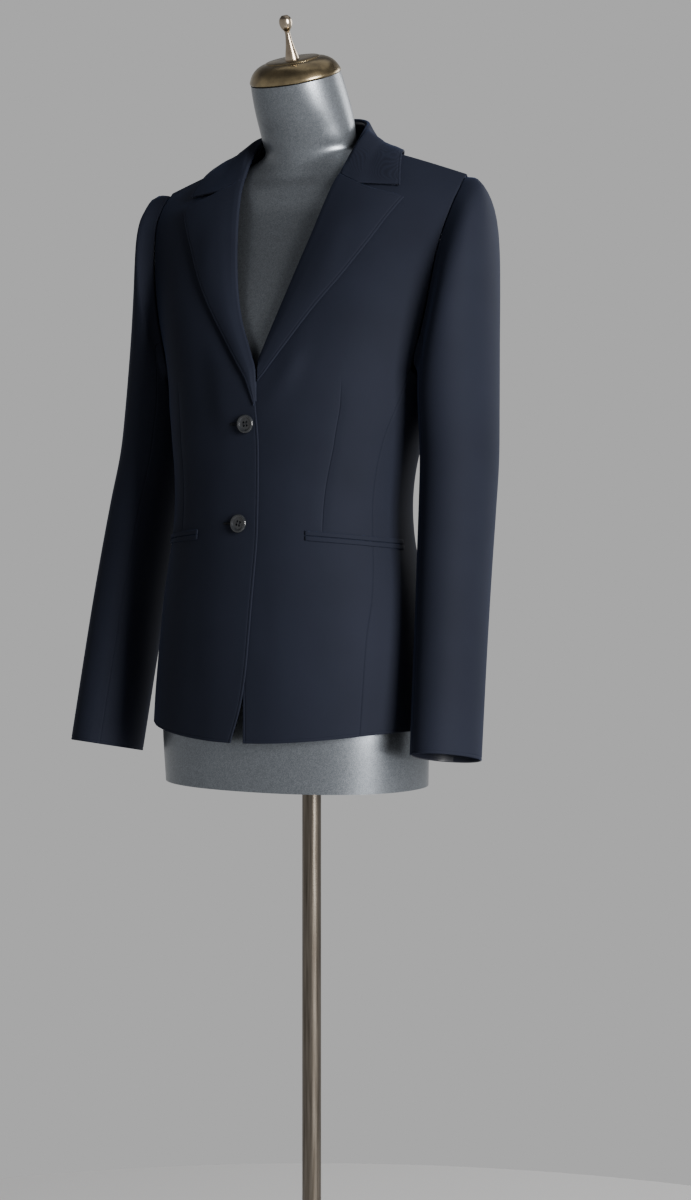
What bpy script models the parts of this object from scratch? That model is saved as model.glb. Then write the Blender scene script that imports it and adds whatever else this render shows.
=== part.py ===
"""A women's two-button suit jacket on a limbless dress form with a pole and a round base.

The front faces -Y, the wearer's left is +X, and the origin is on the floor under the pole.
Each panel of cloth is a grid of points, walled by moving the points in along the normals.
"""
import math
from collections import namedtuple

import bmesh
import bpy
from mathutils import Vector
from mathutils.bvhtree import BVHTree

# ---------------------------------------------------------------- driving dimensions, in metres
CLOTH = 0.0016            # wall of a jacket panel
LAPEL_CLOTH = 0.0018      # wall of a lapel and the collar
SEAM_GAP = 0.0003         # between two panels at their seam
LAYER_GAP = 0.0007        # between one layer of cloth and the layer that lies on it

SEAM_TOP_Z = 1.125        # where the side seams reach the armhole
ARMPIT_DIP = 0.013        # how far the armhole dips below the side seams' tops
BREAK_Z = 1.108           # where the lapels begin to roll
NECK_POINT = Vector((0.070, 0.002, 1.361))
SHOULDER_TIP = Vector((0.1825, 0.006, 1.3255))
NAPE = Vector((0.0, 0.066, 1.375))

BUTTON_RADIUS = 0.0095
BUTTON_THICK = 0.0038
BUTTON_HEIGHTS = (1.0705, 0.9700)
BUTTON_X = (0.0040, 0.0015)
BUTTON_NAMES = ("button_upper", "button_lower")

FORM_LOW_Z = 0.700        # underside of the form's torso

ROWS_LOW = 11             # grid rows from the hem to the side seams' tops
ROWS_HIGH = 9             # grid rows from there to the shoulder
COLS_FRONT = 10
COLS_SIDE = 5
COLS_BACK = 9

# Level sections of the jacket's body: the half width, and where front, middle and back lie.
Section = namedtuple("Section", "z half_width front_y middle_y back_y")
BODY = [
    Section(0.700, 0.1640, -0.153, -0.027, 0.088),
    Section(0.750, 0.1590, -0.152, -0.028, 0.083),
    Section(0.800, 0.1550, -0.151, -0.029, 0.077),
    Section(0.850, 0.1495, -0.148, -0.031, 0.068),
    Section(0.900, 0.1425, -0.145, -0.033, 0.058),
    Section(0.955, 0.1325, -0.139, -0.036, 0.053),
    Section(1.000, 0.1305, -0.135, -0.036, 0.054),
    Section(1.050, 0.1380, -0.130, -0.031, 0.059),
    Section(1.112, 0.1535, -0.127, -0.014, 0.086),
    Section(1.180, 0.1600, -0.110, 0.000, 0.102),
]

# Where the seams run round the body, in degrees from the front middle to the back middle.
SeamRow = namedtuple("SeamRow", "z front_seam back_seam")
SEAMS = [
    SeamRow(0.740, 49.5, 117.0),
    SeamRow(0.850, 56.0, 116.5),
    SeamRow(0.900, 62.0, 116.0),
    SeamRow(0.950, 66.3, 115.0),
    SeamRow(1.000, 67.5, 115.0),
    SeamRow(1.054, 67.8, 116.0),
    SeamRow(1.130, 72.0, 120.0),
]

# The free edges of the two fronts below the lapels: x at each height.
EdgeRow = namedtuple("EdgeRow", "z right_x left_x")
FRONT_EDGES = [
    EdgeRow(0.735, -0.0020, 0.0125),
    EdgeRow(0.750, -0.0010, 0.0122),
    EdgeRow(0.772, 0.0060, 0.0121),
    EdgeRow(0.796, 0.0130, 0.0118),
    EdgeRow(0.833, 0.0166, 0.0080),
    EdgeRow(0.900, 0.0206, -0.0060),
    EdgeRow(0.955, 0.0222, -0.0150),
    EdgeRow(0.994, 0.0212, -0.0180),
    EdgeRow(1.050, 0.0181, -0.0180),
    EdgeRow(1.080, 0.0150, -0.0130),
    EdgeRow(1.100, 0.0124, -0.0040),
    EdgeRow(1.125, 0.0086, 0.0110),
]

# The roll line, from the break up to the neck, on the wearer's left.
ROLL_LINE = [
    Vector((0.0262, -0.1010, 1.186)),
    Vector((0.0475, -0.0745, 1.262)),
    Vector((0.0610, -0.0420, 1.327)),
    NECK_POINT,
]

# The armhole in front of and behind the shoulder tip, on the wearer's left, by sleeve angle.
ArmRow = namedtuple("ArmRow", "angle x y z")
ARM_FRONT = [
    ArmRow(0.0, SHOULDER_TIP.x, SHOULDER_TIP.y, SHOULDER_TIP.z),
    ArmRow(36.0, 0.1815, -0.0215, 1.2955),
    ArmRow(70.0, 0.1735, -0.0400, 1.248),
    ArmRow(105.0, 0.1640, -0.0470, 1.190),
]
ARM_BACK = [
    ArmRow(360.0, SHOULDER_TIP.x, SHOULDER_TIP.y, SHOULDER_TIP.z),
    ArmRow(324.0, 0.1790, 0.0340, 1.297),
    ArmRow(290.0, 0.1720, 0.0500, 1.250),
    ArmRow(255.0, 0.1600, 0.0530, 1.190),
]
ARM_LOW_FRONT_ANGLE = 145.0
ARM_LOW_BACK_ANGLE = 215.0


# ---------------------------------------------------------------- small helpers
def hermite(p0, p1, m0, m1, t):
    """A cubic from p0 to p1 with end slopes m0 and m1, for numbers and vectors alike."""
    t2 = t * t
    t3 = t2 * t
    return (p0 * (2 * t3 - 3 * t2 + 1) + m0 * (t3 - 2 * t2 + t)
            + p1 * (3 * t2 - 2 * t3) + m1 * (t3 - t2))


def spline(knots, values, at):
    """A smooth curve through values at rising knots, read at one place."""
    last = len(knots) - 1
    at = min(max(at, knots[0]), knots[-1])
    i = 0
    while i < last - 1 and at > knots[i + 1]:
        i += 1

    def slope(k):
        low = max(k - 1, 0)
        high = min(k + 1, last)
        return (values[high] - values[low]) * (1.0 / (knots[high] - knots[low]))

    width = knots[i + 1] - knots[i]
    t = (at - knots[i]) / width
    return hermite(values[i], values[i + 1], slope(i) * width, slope(i + 1) * width, t)


def column(rows, name, at, key="z"):
    """One named column of a table, smoothly read at a height or angle."""
    return spline([getattr(row, key) for row in rows], [getattr(row, name) for row in rows], at)


def smoothstep(t):
    t = min(max(t, 0.0), 1.0)
    return t * t * (3.0 - 2.0 * t)


def mix(a, b, t):
    return a + (b - a) * t


def mirrored(point, side):
    return Vector((point.x * side, point.y, point.z))


# ---------------------------------------------------------------- materials
def material(name, colour, roughness, metallic=0.0):
    found = bpy.data.materials.get(name)
    if found:
        return found
    made = bpy.data.materials.new(name)
    made.use_nodes = True
    shader = made.node_tree.nodes["Principled BSDF"]
    shader.inputs["Base Color"].default_value = (*colour, 1.0)
    shader.inputs["Roughness"].default_value = roughness
    shader.inputs["Metallic"].default_value = metallic
    return made


def navy_wool():
    return material("navy_wool", (0.012, 0.014, 0.024), 0.75)


def horn_button():
    return material("dark_button", (0.03, 0.03, 0.04), 0.25)


def grey_jersey():
    return material("grey_jersey", (0.36, 0.36, 0.38), 0.85)


def aged_brass():
    return material("aged_brass", (0.42, 0.30, 0.13), 0.35, 1.0)


def dark_bronze():
    return material("dark_bronze", (0.10, 0.085, 0.07), 0.40, 1.0)


# ---------------------------------------------------------------- meshes
def add_object(name, verts, faces, finish, smooth_angle=35.0):
    mesh = bpy.data.meshes.new(name)
    mesh.from_pydata([tuple(v) for v in verts], [], faces)
    shape = bmesh.new()
    shape.from_mesh(mesh)
    bmesh.ops.recalc_face_normals(shape, faces=shape.faces)
    shape.to_mesh(mesh)
    shape.free()
    mesh.shade_smooth()
    mesh.set_sharp_from_angle(angle=math.radians(smooth_angle))
    made = bpy.data.objects.new(name, mesh)
    made.data.materials.append(finish)
    bpy.context.scene.collection.objects.link(made)
    return made


def grid_normals(grid):
    """Unit normals of a grid of points, by the differences between neighbours."""
    rows = len(grid)
    cols = len(grid[0])
    normals = []
    for i in range(rows):
        line = []
        for j in range(cols):
            along = grid[i][min(j + 1, cols - 1)] - grid[i][max(j - 1, 0)]
            up = grid[min(i + 1, rows - 1)][j] - grid[max(i - 1, 0)][j]
            line.append(along.cross(up).normalized())
        normals.append(line)
    return normals


def wall(name, grid, normals, thickness, finish, outward=0.0):
    """A closed wall: the grid moved out by outward, and again by outward - thickness.

    thickness is one number or a list with one for each row.
    """
    rows = len(grid)
    cols = len(grid[0])
    walls = thickness if isinstance(thickness, list) else [thickness] * rows
    outer = [grid[i][j] + normals[i][j] * outward for i in range(rows) for j in range(cols)]
    inner = [grid[i][j] + normals[i][j] * (outward - walls[i])
             for i in range(rows) for j in range(cols)]
    base = rows * cols
    faces = []
    for i in range(rows - 1):
        for j in range(cols - 1):
            a = i * cols + j
            quad = (a, a + 1, a + cols + 1, a + cols)
            faces.append(quad)
            faces.append(tuple(base + k for k in reversed(quad)))
    rim = [j for j in range(cols)]
    rim += [i * cols + cols - 1 for i in range(1, rows)]
    rim += [(rows - 1) * cols + j for j in range(cols - 2, -1, -1)]
    rim += [i * cols for i in range(rows - 2, 0, -1)]
    for k, a in enumerate(rim):
        b = rim[(k + 1) % len(rim)]
        faces.append((b, a, base + a, base + b))
    return add_object(name, outer + inner, faces, finish)


def trimmed(grid, left=0.0, right=0.0, low=0.0, high=0.0):
    """The grid with its border points drawn in along the grid by the given amounts."""
    rows = [list(line) for line in grid]
    for line in rows:
        line[0] = line[0] + (line[1] - line[0]).normalized() * left
        line[-1] = line[-1] + (line[-2] - line[-1]).normalized() * right
    for j in range(len(rows[0])):
        rows[0][j] = rows[0][j] + (rows[1][j] - rows[0][j]).normalized() * low
        rows[-1][j] = rows[-1][j] + (rows[-2][j] - rows[-1][j]).normalized() * high
    return rows


def turned(name, profile, finish, steps):
    """A closed solid of revolution from (radius, z) points; ends on the axis have radius 0."""
    verts = []
    rings = []
    for radius, z in profile:
        if radius == 0.0:
            rings.append([len(verts)])
            verts.append((0.0, 0.0, z))
            continue
        ring = []
        for k in range(steps):
            angle = 2.0 * math.pi * k / steps
            ring.append(len(verts))
            verts.append((radius * math.cos(angle), radius * math.sin(angle), z))
        rings.append(ring)
    faces = []
    for low, high in zip(rings, rings[1:]):
        for k in range(steps):
            nxt = (k + 1) % steps
            if len(low) == 1:
                faces.append((low[0], high[nxt], high[k]))
            elif len(high) == 1:
                faces.append((low[k], low[nxt], high[0]))
            else:
                faces.append((low[k], low[nxt], high[nxt], high[k]))
    return add_object(name, verts, faces, finish)


# ---------------------------------------------------------------- the jacket's body surface
FRONT_SQUARENESS = 2.1    # exponents of the level sections; 2 is an ellipse
BACK_SQUARENESS = 2.3
BUST_FULLNESS = 0.007
BUST_CENTRE = Vector((0.084, 0.0, 1.128))
BUST_SPREAD = (0.036, 0.046)
LAYER_SHIFT = 0.0012     # each front moves this far at the closure, one out and one in
LAYER_X = (0.022, 0.030)  # full shift to this far from the centre line, then eased over this far
LAYER_Z = (0.020, 0.030)  # full shift to this far over the break, then eased over this far
FRONT_HEM_Z = 0.750
SIDE_HEM_RISE = 0.012
SHOULDER_RISE = 0.001
HEM_RISE_ANGLE = 75.0


def body_point(z, angle):
    """A point of the jacket's outer surface on the wearer's left, below the armhole."""
    half_width = column(BODY, "half_width", z)
    middle = column(BODY, "middle_y", z)
    sine = math.sin(math.radians(angle))
    cosine = math.cos(math.radians(angle))
    if cosine >= 0.0:
        power = 2.0 / FRONT_SQUARENESS
        y = middle - (middle - column(BODY, "front_y", z)) * cosine ** power
    else:
        power = 2.0 / mix(FRONT_SQUARENESS, BACK_SQUARENESS, smoothstep(-4.0 * cosine))
        y = middle + (column(BODY, "back_y", z) - middle) * (-cosine) ** power
    x = math.copysign(half_width * abs(sine) ** power, sine)
    return with_bust(Vector((x, y, z)))


def with_bust(point):
    """The point moved out for the fullness over the bust; none on the back."""
    if point.y > 0.0:
        return point
    dx = (point.x - BUST_CENTRE.x) / BUST_SPREAD[0]
    dz = (point.z - BUST_CENTRE.z) / BUST_SPREAD[1]
    amount = BUST_FULLNESS * math.exp(-dx * dx - dz * dz)
    return point + Vector((0.25 * amount, -amount, 0.0))


def angle_at_x(z, x):
    """The section angle near the front middle where the surface reaches x."""
    half_width = column(BODY, "half_width", z)
    sine = (abs(x) / half_width) ** (FRONT_SQUARENESS / 2.0)
    return math.copysign(math.degrees(math.asin(sine)), x)


def hem_z(angle):
    return FRONT_HEM_Z + SIDE_HEM_RISE * smoothstep(abs(angle) / HEM_RISE_ANGLE)


def front_seam(z):
    return column(SEAMS, "front_seam", z)


def back_seam(z):
    return column(SEAMS, "back_seam", z)


def armhole_point(angle):
    """The armhole's edge on the wearer's left, by sleeve angle: 0 is the shoulder tip."""
    angle = angle % 360.0
    low_front = body_point(SEAM_TOP_Z, front_seam(SEAM_TOP_Z))
    low_back = body_point(SEAM_TOP_Z, back_seam(SEAM_TOP_Z))
    if ARM_LOW_FRONT_ANGLE <= angle <= ARM_LOW_BACK_ANGLE:
        share = (angle - ARM_LOW_FRONT_ANGLE) / (ARM_LOW_BACK_ANGLE - ARM_LOW_FRONT_ANGLE)
        return armhole_bottom(share)
    if angle < ARM_LOW_FRONT_ANGLE:
        knots = [row.angle for row in ARM_FRONT] + [ARM_LOW_FRONT_ANGLE]
        places = [Vector((row.x, row.y, row.z)) for row in ARM_FRONT] + [low_front]
    else:
        knots = [ARM_LOW_BACK_ANGLE] + [row.angle for row in reversed(ARM_BACK)]
        places = [low_back] + [Vector((row.x, row.y, row.z)) for row in reversed(ARM_BACK)]
    return spline(knots, places, angle)


def armhole_bottom(share):
    """The side panel's top edge, from the front seam to the back seam."""
    z = SEAM_TOP_Z - ARMPIT_DIP * math.sin(math.pi * share)
    return body_point(z, mix(front_seam(SEAM_TOP_Z), back_seam(SEAM_TOP_Z), share))


def low_rows(first_angle, last_angle, cols, top=None):
    """Grid rows from the hem up to the side seams' tops, between two seam functions."""
    grid = []
    for i in range(ROWS_LOW + 1):
        rise = i / ROWS_LOW
        line = []
        for j in range(cols + 1):
            share = j / cols
            ceiling = top(share) if top else SEAM_TOP_Z
            guess = mix(FRONT_HEM_Z, ceiling, rise)
            low = hem_z(mix(first_angle(guess), last_angle(guess), share))
            z = mix(low, ceiling, rise)
            line.append(body_point(z, mix(first_angle(z), last_angle(z), share)))
        grid.append(line)
    return grid


def coons(bottom, top, left, right, rows):
    """Grid rows over four border curves; bottom and top are lists, the others functions."""
    cols = len(bottom) - 1
    grid = []
    for i in range(1, rows + 1):
        v = i / rows
        line = []
        for j in range(cols + 1):
            u = j / cols
            corners = mix(mix(bottom[0], bottom[-1], u), mix(top[0], top[-1], u), v)
            point = mix(bottom[j], top[j], v) + mix(left(v), right(v), u) - corners
            line.append(point)
        grid.append(line)
    return grid


def relaxed(grid, first, last, rounds, first_col=1, centre_last=False):
    """Evens out the inner points of some rows, so that the joined patches meet smoothly.

    With centre_last the last column lies on the centre line and is evened out with the
    mirrored half.
    """
    for _ in range(rounds):
        for i in range(first, last + 1):
            if centre_last:
                line = grid[i]
                line[-1].y = mix(line[-1].y, line[-2].y, 0.35)
            for j in range(first_col, len(grid[0]) - 1):
                around = grid[i - 1][j] + grid[i + 1][j] + grid[i][j - 1] + grid[i][j + 1]
                grid[i][j] = mix(grid[i][j], around * 0.25, 0.5)
    return grid


def along(points, share):
    """A smooth curve through points, read by its share of the polygon's length."""
    lengths = [0.0]
    for a, b in zip(points, points[1:]):
        lengths.append(lengths[-1] + (b - a).length)
    return spline(lengths, points, share * lengths[-1])


def edge_x(z, side):
    """The front's free edge below the lapel, as x on a wearer's left front."""
    name = "left_x" if side > 0 else "right_x"
    return column(FRONT_EDGES, name, z) * side


def roll_points(side):
    start = body_point(SEAM_TOP_Z, angle_at_x(SEAM_TOP_Z, edge_x(SEAM_TOP_Z, side)))
    return [start] + ROLL_LINE


def shoulder_curve(share):
    """The shoulder seam from the neck point to the shoulder tip, a little full."""
    rise = SHOULDER_RISE * math.sin(math.pi * share)
    return mix(NECK_POINT, SHOULDER_TIP, share) + Vector((0.0, 0.0, rise))


def neckline_curve(share):
    """The back neckline from the neck point to the nape."""
    turn = 0.5 * math.pi * share
    x = NECK_POINT.x * math.cos(turn)
    y = mix(NECK_POINT.y, NAPE.y, math.sin(turn))
    z = mix(NECK_POINT.z, NAPE.z, smoothstep(share))
    return Vector((x, y, z))


def front_grid(side):
    """The front from its free edge to the side seam and armhole, as a wearer's left front."""
    def first(z):
        return angle_at_x(z, edge_x(z, side))

    grid = low_rows(first, front_seam, COLS_FRONT)
    bottom = grid[-1]
    top = [shoulder_curve(j / COLS_FRONT) for j in range(COLS_FRONT + 1)]
    arm = [armhole_point(ARM_LOW_FRONT_ANGLE * (1.0 - k / 24)) for k in range(25)]
    roll = roll_points(side)
    grid += coons(bottom, top, lambda v: along(roll, v), lambda v: along(arm, v), ROWS_HIGH)
    grid = relaxed(grid, ROWS_LOW - 1, ROWS_LOW + 5, 6, 3)
    return layered(grid, side)


def layered(grid, side):
    """Moves the closure's overlap out on the right front, which lies on top, and in on the left."""
    normals = grid_normals(grid)
    for i, line in enumerate(grid):
        rise = smoothstep((line[0].z - BREAK_Z - LAYER_Z[0]) / LAYER_Z[1])
        for j, point in enumerate(line):
            near = 1.0 - smoothstep((abs(point.x) - LAYER_X[0]) / LAYER_X[1])
            shift = -side * LAYER_SHIFT * near * (1.0 - rise)
            line[j] = point + normals[i][j] * shift
    return grid


def side_grid():
    def top(share):
        return armhole_bottom(share).z

    return low_rows(front_seam, back_seam, COLS_SIDE, top)


CENTRE_BACK = [
    Vector((0.0, 0.105, 1.200)),
    Vector((0.0, 0.099, 1.290)),
    Vector((0.0, 0.083, 1.344)),
    NAPE,
]
SHOULDER_COLS = 5         # the back's grid columns on the shoulder seam


def back_grid():
    """The back from the side seam and armhole to the centre seam, wearer's left."""
    grid = low_rows(back_seam, lambda z: 180.0, COLS_BACK)
    bottom = grid[-1]
    top = []
    for j in range(COLS_BACK + 1):
        if j <= SHOULDER_COLS:
            top.append(shoulder_curve(1.0 - j / SHOULDER_COLS))
        else:
            top.append(neckline_curve((j - SHOULDER_COLS) / (COLS_BACK - SHOULDER_COLS)))
    span = 360.0 - ARM_LOW_BACK_ANGLE
    arm = [armhole_point(min(ARM_LOW_BACK_ANGLE + span * k / 24, 359.999)) for k in range(25)]
    centre = [bottom[-1]] + CENTRE_BACK
    grid += coons(bottom, top, lambda v: along(arm, v), lambda v: along(centre, v), ROWS_HIGH)
    return relaxed(grid, ROWS_LOW - 2, ROWS_LOW + ROWS_HIGH - 2, 8, 1, True)


def oriented(grid, side):
    """The grid on its own side of the body, with its normals still pointing out."""
    if side > 0:
        return grid
    return [[mirrored(point, -1) for point in reversed(line)] for line in grid]


def key_of(point):
    return (round(point.x, 5), round(point.y, 5), round(point.z, 5))


def shared_normals(grids):
    """Normals of several grids, averaged where the grids' points coincide at a seam."""
    sums = {}
    own = [grid_normals(grid) for grid in grids]
    for grid, normals in zip(grids, own):
        for line, arrows in zip(grid, normals):
            for point, arrow in zip(line, arrows):
                key = key_of(point)
                sums[key] = sums.get(key, Vector()) + arrow
    return [[[sums[key_of(point)].normalized() for point in line] for line in grid]
            for grid in grids]


SHOULDER_NORMAL = Vector((0.40, 0.0, 0.917))
HALF_GAP = 0.5 * SEAM_GAP


def body_panels():
    """Front, side and back of both halves; returns the grids and normals by name."""
    made = {}
    for side, word in ((1, "left"), (-1, "right")):
        grids = [front_grid(side), side_grid(), back_grid()]
        grids = [oriented(grid, side) for grid in grids]
        normals = shared_normals(grids)
        seam_normal = mirrored(SHOULDER_NORMAL, side)
        for j in range(COLS_FRONT + 1):
            normals[0][-1][j] = seam_normal
        shoulder = range(SHOULDER_COLS + 1)
        for j in shoulder:
            normals[2][-1][j if side > 0 else COLS_BACK - j] = seam_normal
        for arrows in normals[2]:
            centre = arrows[-1 if side > 0 else 0]
            centre.x = 0.0
            centre.normalize()
        for name, grid, arrows in zip(("front", "side", "back"), grids, normals):
            made[f"{name}_{word}"] = (grid, arrows)
    return made


def build_body(panels):
    for name, (grid, normals) in panels.items():
        side = 1 if name.endswith("left") else -1
        inner_edge = 0.0 if name.startswith("front") else HALF_GAP
        first, last = (inner_edge, HALF_GAP) if side > 0 else (HALF_GAP, inner_edge)
        top = 0.0 if name.startswith("side") else HALF_GAP
        wall(name, trimmed(grid, first, last, 0.0, top), normals, CLOTH, navy_wool())


# ---------------------------------------------------------------- sleeves
# Rings down each sleeve as it hangs, on a wearer's left: the centre and the two diameters.
SleeveRow = namedtuple("SleeveRow", "z x y width depth")
SLEEVES = {
    1: [
        SleeveRow(1.085, 0.1870, -0.0190, 0.0740, 0.106),
        SleeveRow(1.040, 0.1868, -0.0170, 0.0730, 0.101),
        SleeveRow(0.930, 0.1865, -0.0270, 0.0700, 0.094),
        SleeveRow(0.850, 0.1910, -0.0430, 0.0680, 0.090),
        SleeveRow(0.738, 0.1975, -0.0650, 0.0660, 0.088),
    ],
    -1: [
        SleeveRow(1.085, 0.1835, -0.0060, 0.0740, 0.107),
        SleeveRow(1.040, 0.1895, -0.0080, 0.0730, 0.102),
        SleeveRow(0.970, 0.1995, -0.0200, 0.0715, 0.097),
        SleeveRow(0.875, 0.2073, -0.0400, 0.0700, 0.093),
        SleeveRow(0.730, 0.2178, -0.0650, 0.0690, 0.092),
    ],
}
SLEEVE_ROWS = 7           # grid rows from the cuff to the upper arm
CAP_ROWS = 7              # grid rows from the upper arm to the armhole
FRONT_SLEEVE_SEAM = 122.0
BACK_SLEEVE_SEAM = 246.0
TOP_SLEEVE_COLS = 14
UNDER_SLEEVE_COLS = 7
ARM_GAP = (0.0006, 0.0007)    # armhole's edge to sleeve's edge: at the top, added low down
Cap = namedtuple("Cap", "turn rise drop")
CAPS = {          # by side; turn and rise are each the length low down, and what is added on top
    1: Cap((0.010, 0.0205), (0.010, 0.192), -0.02),      # turn: how far it runs out of the armhole
    -1: Cap((0.008, 0.031), (0.010, 0.237), -0.08),     # rise: how far the tube runs straight up
}
ARMHOLE_MIDDLE = Vector((0.17, 0.005, 1.215))


def sleeve_centre(side, z):
    rows = list(reversed(SLEEVES[side]))
    return Vector((column(rows, "x", z), column(rows, "y", z), z))


def sleeve_ring_point(side, z, angle):
    """A point on the sleeve's ring across its own middle line; angle 0 is the outer side."""
    rows = list(reversed(SLEEVES[side]))
    step = 0.004
    centre = sleeve_centre(side, z)
    low = max(z - step, rows[0].z)
    high = min(z + step, rows[-1].z)
    up = (sleeve_centre(side, high) - sleeve_centre(side, low)).normalized()
    out = Vector((1.0, 0.0, 0.0))
    out = (out - up * out.dot(up)).normalized()
    back = up.cross(out)
    turn = math.radians(angle)
    half_width = 0.5 * column(rows, "width", z)
    half_depth = 0.5 * column(rows, "depth", z)
    return centre + out * (half_width * math.cos(turn)) - back * (half_depth * math.sin(turn))


def out_of_armhole(side, angle):
    """The direction in which the sleeve's cloth leaves the armhole."""
    cosine = math.cos(math.radians(angle))
    drop = CAPS[side].drop * max(cosine, 0.0) + 0.75 * max(-cosine, 0.0)
    return Vector((0.85, -0.45 * math.sin(math.radians(angle)), -drop)).normalized()


def cap_point(side, angle, share):
    """The cap's surface from the upper arm's ring, share 0, to the armhole, share 1."""
    rows = SLEEVES[side]
    height = 0.5 + 0.5 * math.cos(math.radians(angle))
    low = sleeve_ring_point(side, rows[0].z, angle)
    below = sleeve_ring_point(side, rows[0].z - 0.012, angle)
    cap = CAPS[side]
    rise = (low - below).normalized() * (cap.rise[0] + cap.rise[1] * height)
    edge = armhole_point(angle)
    away = out_of_armhole(side, angle)
    gap = ARM_GAP[0] + ARM_GAP[1] * (1.0 - height)
    high = edge + away * gap
    turn = edge + away * (gap + cap.turn[0] + cap.turn[1] * height)
    rest = 1.0 - share
    return (low * rest ** 3 + (low + rise) * (3.0 * rest * rest * share)
            + turn * (3.0 * rest * share * share) + high * share ** 3)


def sleeve_grid(side, first_angle, last_angle, cols):
    rows = SLEEVES[side]
    grid = []
    angles = [mix(first_angle, last_angle, j / cols) for j in range(cols + 1)]
    for i in range(SLEEVE_ROWS):
        z = mix(rows[-1].z, rows[0].z, i / SLEEVE_ROWS)
        grid.append([sleeve_ring_point(side, z, angle) for angle in angles])
    for i in range(CAP_ROWS + 1):
        grid.append([cap_point(side, angle, i / CAP_ROWS) for angle in angles])
    return grid


def sleeve_panels():
    """Top and under sleeves of both arms; returns the grids and normals by name."""
    made = {}
    for side, word in ((1, "left"), (-1, "right")):
        top = sleeve_grid(side, FRONT_SLEEVE_SEAM, BACK_SLEEVE_SEAM - 360.0, TOP_SLEEVE_COLS)
        under = sleeve_grid(side, BACK_SLEEVE_SEAM, FRONT_SLEEVE_SEAM, UNDER_SLEEVE_COLS)
        grids = [oriented(top, side), oriented(under, side)]
        normals = shared_normals(grids)
        for grid, arrows in zip(grids, normals):
            for j, point in enumerate(grid[-1]):
                radial = point - mirrored(ARMHOLE_MIDDLE, side)
                radial.x = 0.0
                arrows[-1][j] = radial.normalized()
                arrows[-2][j] = (arrows[-2][j] + arrows[-1][j]).normalized()
        for name, grid, arrows in zip(("top_sleeve", "under_sleeve"), grids, normals):
            made[f"{name}_{word}"] = (grid, arrows)
    return made


def build_sleeves(panels):
    for name, (grid, normals) in panels.items():
        wall(name, trimmed(grid, HALF_GAP, HALF_GAP), normals, CLOTH, navy_wool())


# ---------------------------------------------------------------- lapels
# The lapels' free edges, from the break up to the point, on a wearer's left.
LapelRow = namedtuple("LapelRow", "z left_x right_x")
LAPEL_EDGE = [
    LapelRow(1.0890, 0.0040, -0.0128),
    LapelRow(1.1130, 0.0150, -0.0020),
    LapelRow(1.1220, 0.0225, 0.0040),
    LapelRow(1.1470, 0.0395, 0.0260),
    LapelRow(1.1880, 0.0660, 0.0600),
    LapelRow(1.2220, 0.0905, 0.0840),
    LapelRow(1.2600, 0.1140, 0.1070),
    LapelRow(1.2990, 0.1360, 0.1300),
]
LAPEL_LOW_Z = {1: 1.113, -1: 1.089}       # where each free edge begins
GORGE_TOP_Z = 1.327       # where the gorge seam meets the roll line
LAPEL_START_Z = {1: 1.133, -1: 1.093}     # lowest point of the roll on each side
FOLD_RADIUS = LAPEL_CLOTH + LAYER_GAP     # outer radius of the folded edge
FOLD_ANGLES = (-60.0, -20.0, 30.0, 85.0)  # grid columns round the fold
LAPEL_BELLY = 0.0025      # extra height of the lapel's middle over the chest
BREAK_LIFT = {1: 0.0007, -1: 0.0003}      # extra height of the lapels next to the break
EDGE_LIFT = 0.0003        # and of their free edges farther up
END_RADIUS = 0.0013       # the fold's radius where the right lapel runs out at the break
END_CLOTH = 0.0009        # and its wall there
END_SHARE = 0.11          # of the lapel's height, over which it grows to the full wall
LAPEL_COLS = 6
FROM_FRONT = Vector((0.0, -1.0, 0.0))


def tree_of(grids):
    """A search tree over several grids' outer surfaces."""
    verts = []
    faces = []
    for grid in grids:
        base = len(verts)
        cols = len(grid[0])
        for line in grid:
            verts.extend(line)
        for i in range(len(grid) - 1):
            for j in range(cols - 1):
                a = base + i * cols + j
                faces.append((a, a + 1, a + cols + 1, a + cols))
    return BVHTree.FromPolygons(verts, faces)


def on_chest(tree, x, z):
    """The outer surface straight behind x, z seen from the front, and its normal."""
    place, normal, _, _ = tree.ray_cast(Vector((x, FROM_FRONT.y, z)), -FROM_FRONT)
    if place is None:
        nearest, normal, _, _ = tree.find_nearest(Vector((x, BODY[0].front_y, z)))
        place = Vector((x, nearest.y, z))
    if normal.y > 0.0:
        normal = -normal
    return place, normal


def roll_at(points, z):
    """The point at a height on the front's edge, which is straight between grid rows."""
    for low, high in zip(points, points[1:]):
        if low.z <= z <= high.z:
            return mix(low, high, (z - low.z) / (high.z - low.z))
    return points[-1]


def fold_heights(roll, side):
    """Heights of the lapel's rows: the front's own corners and the places halfway between."""
    start = LAPEL_START_Z[side]
    corners = [point.z for point in roll if start + 0.002 < point.z < GORGE_TOP_Z - 0.001]
    corners = [start] + corners + [GORGE_TOP_Z]
    heights = [start]
    for low, high in zip(corners, corners[1:]):
        if high - low > 0.012:
            heights.append(0.5 * (low + high))
        heights.append(high)
    return heights


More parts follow.
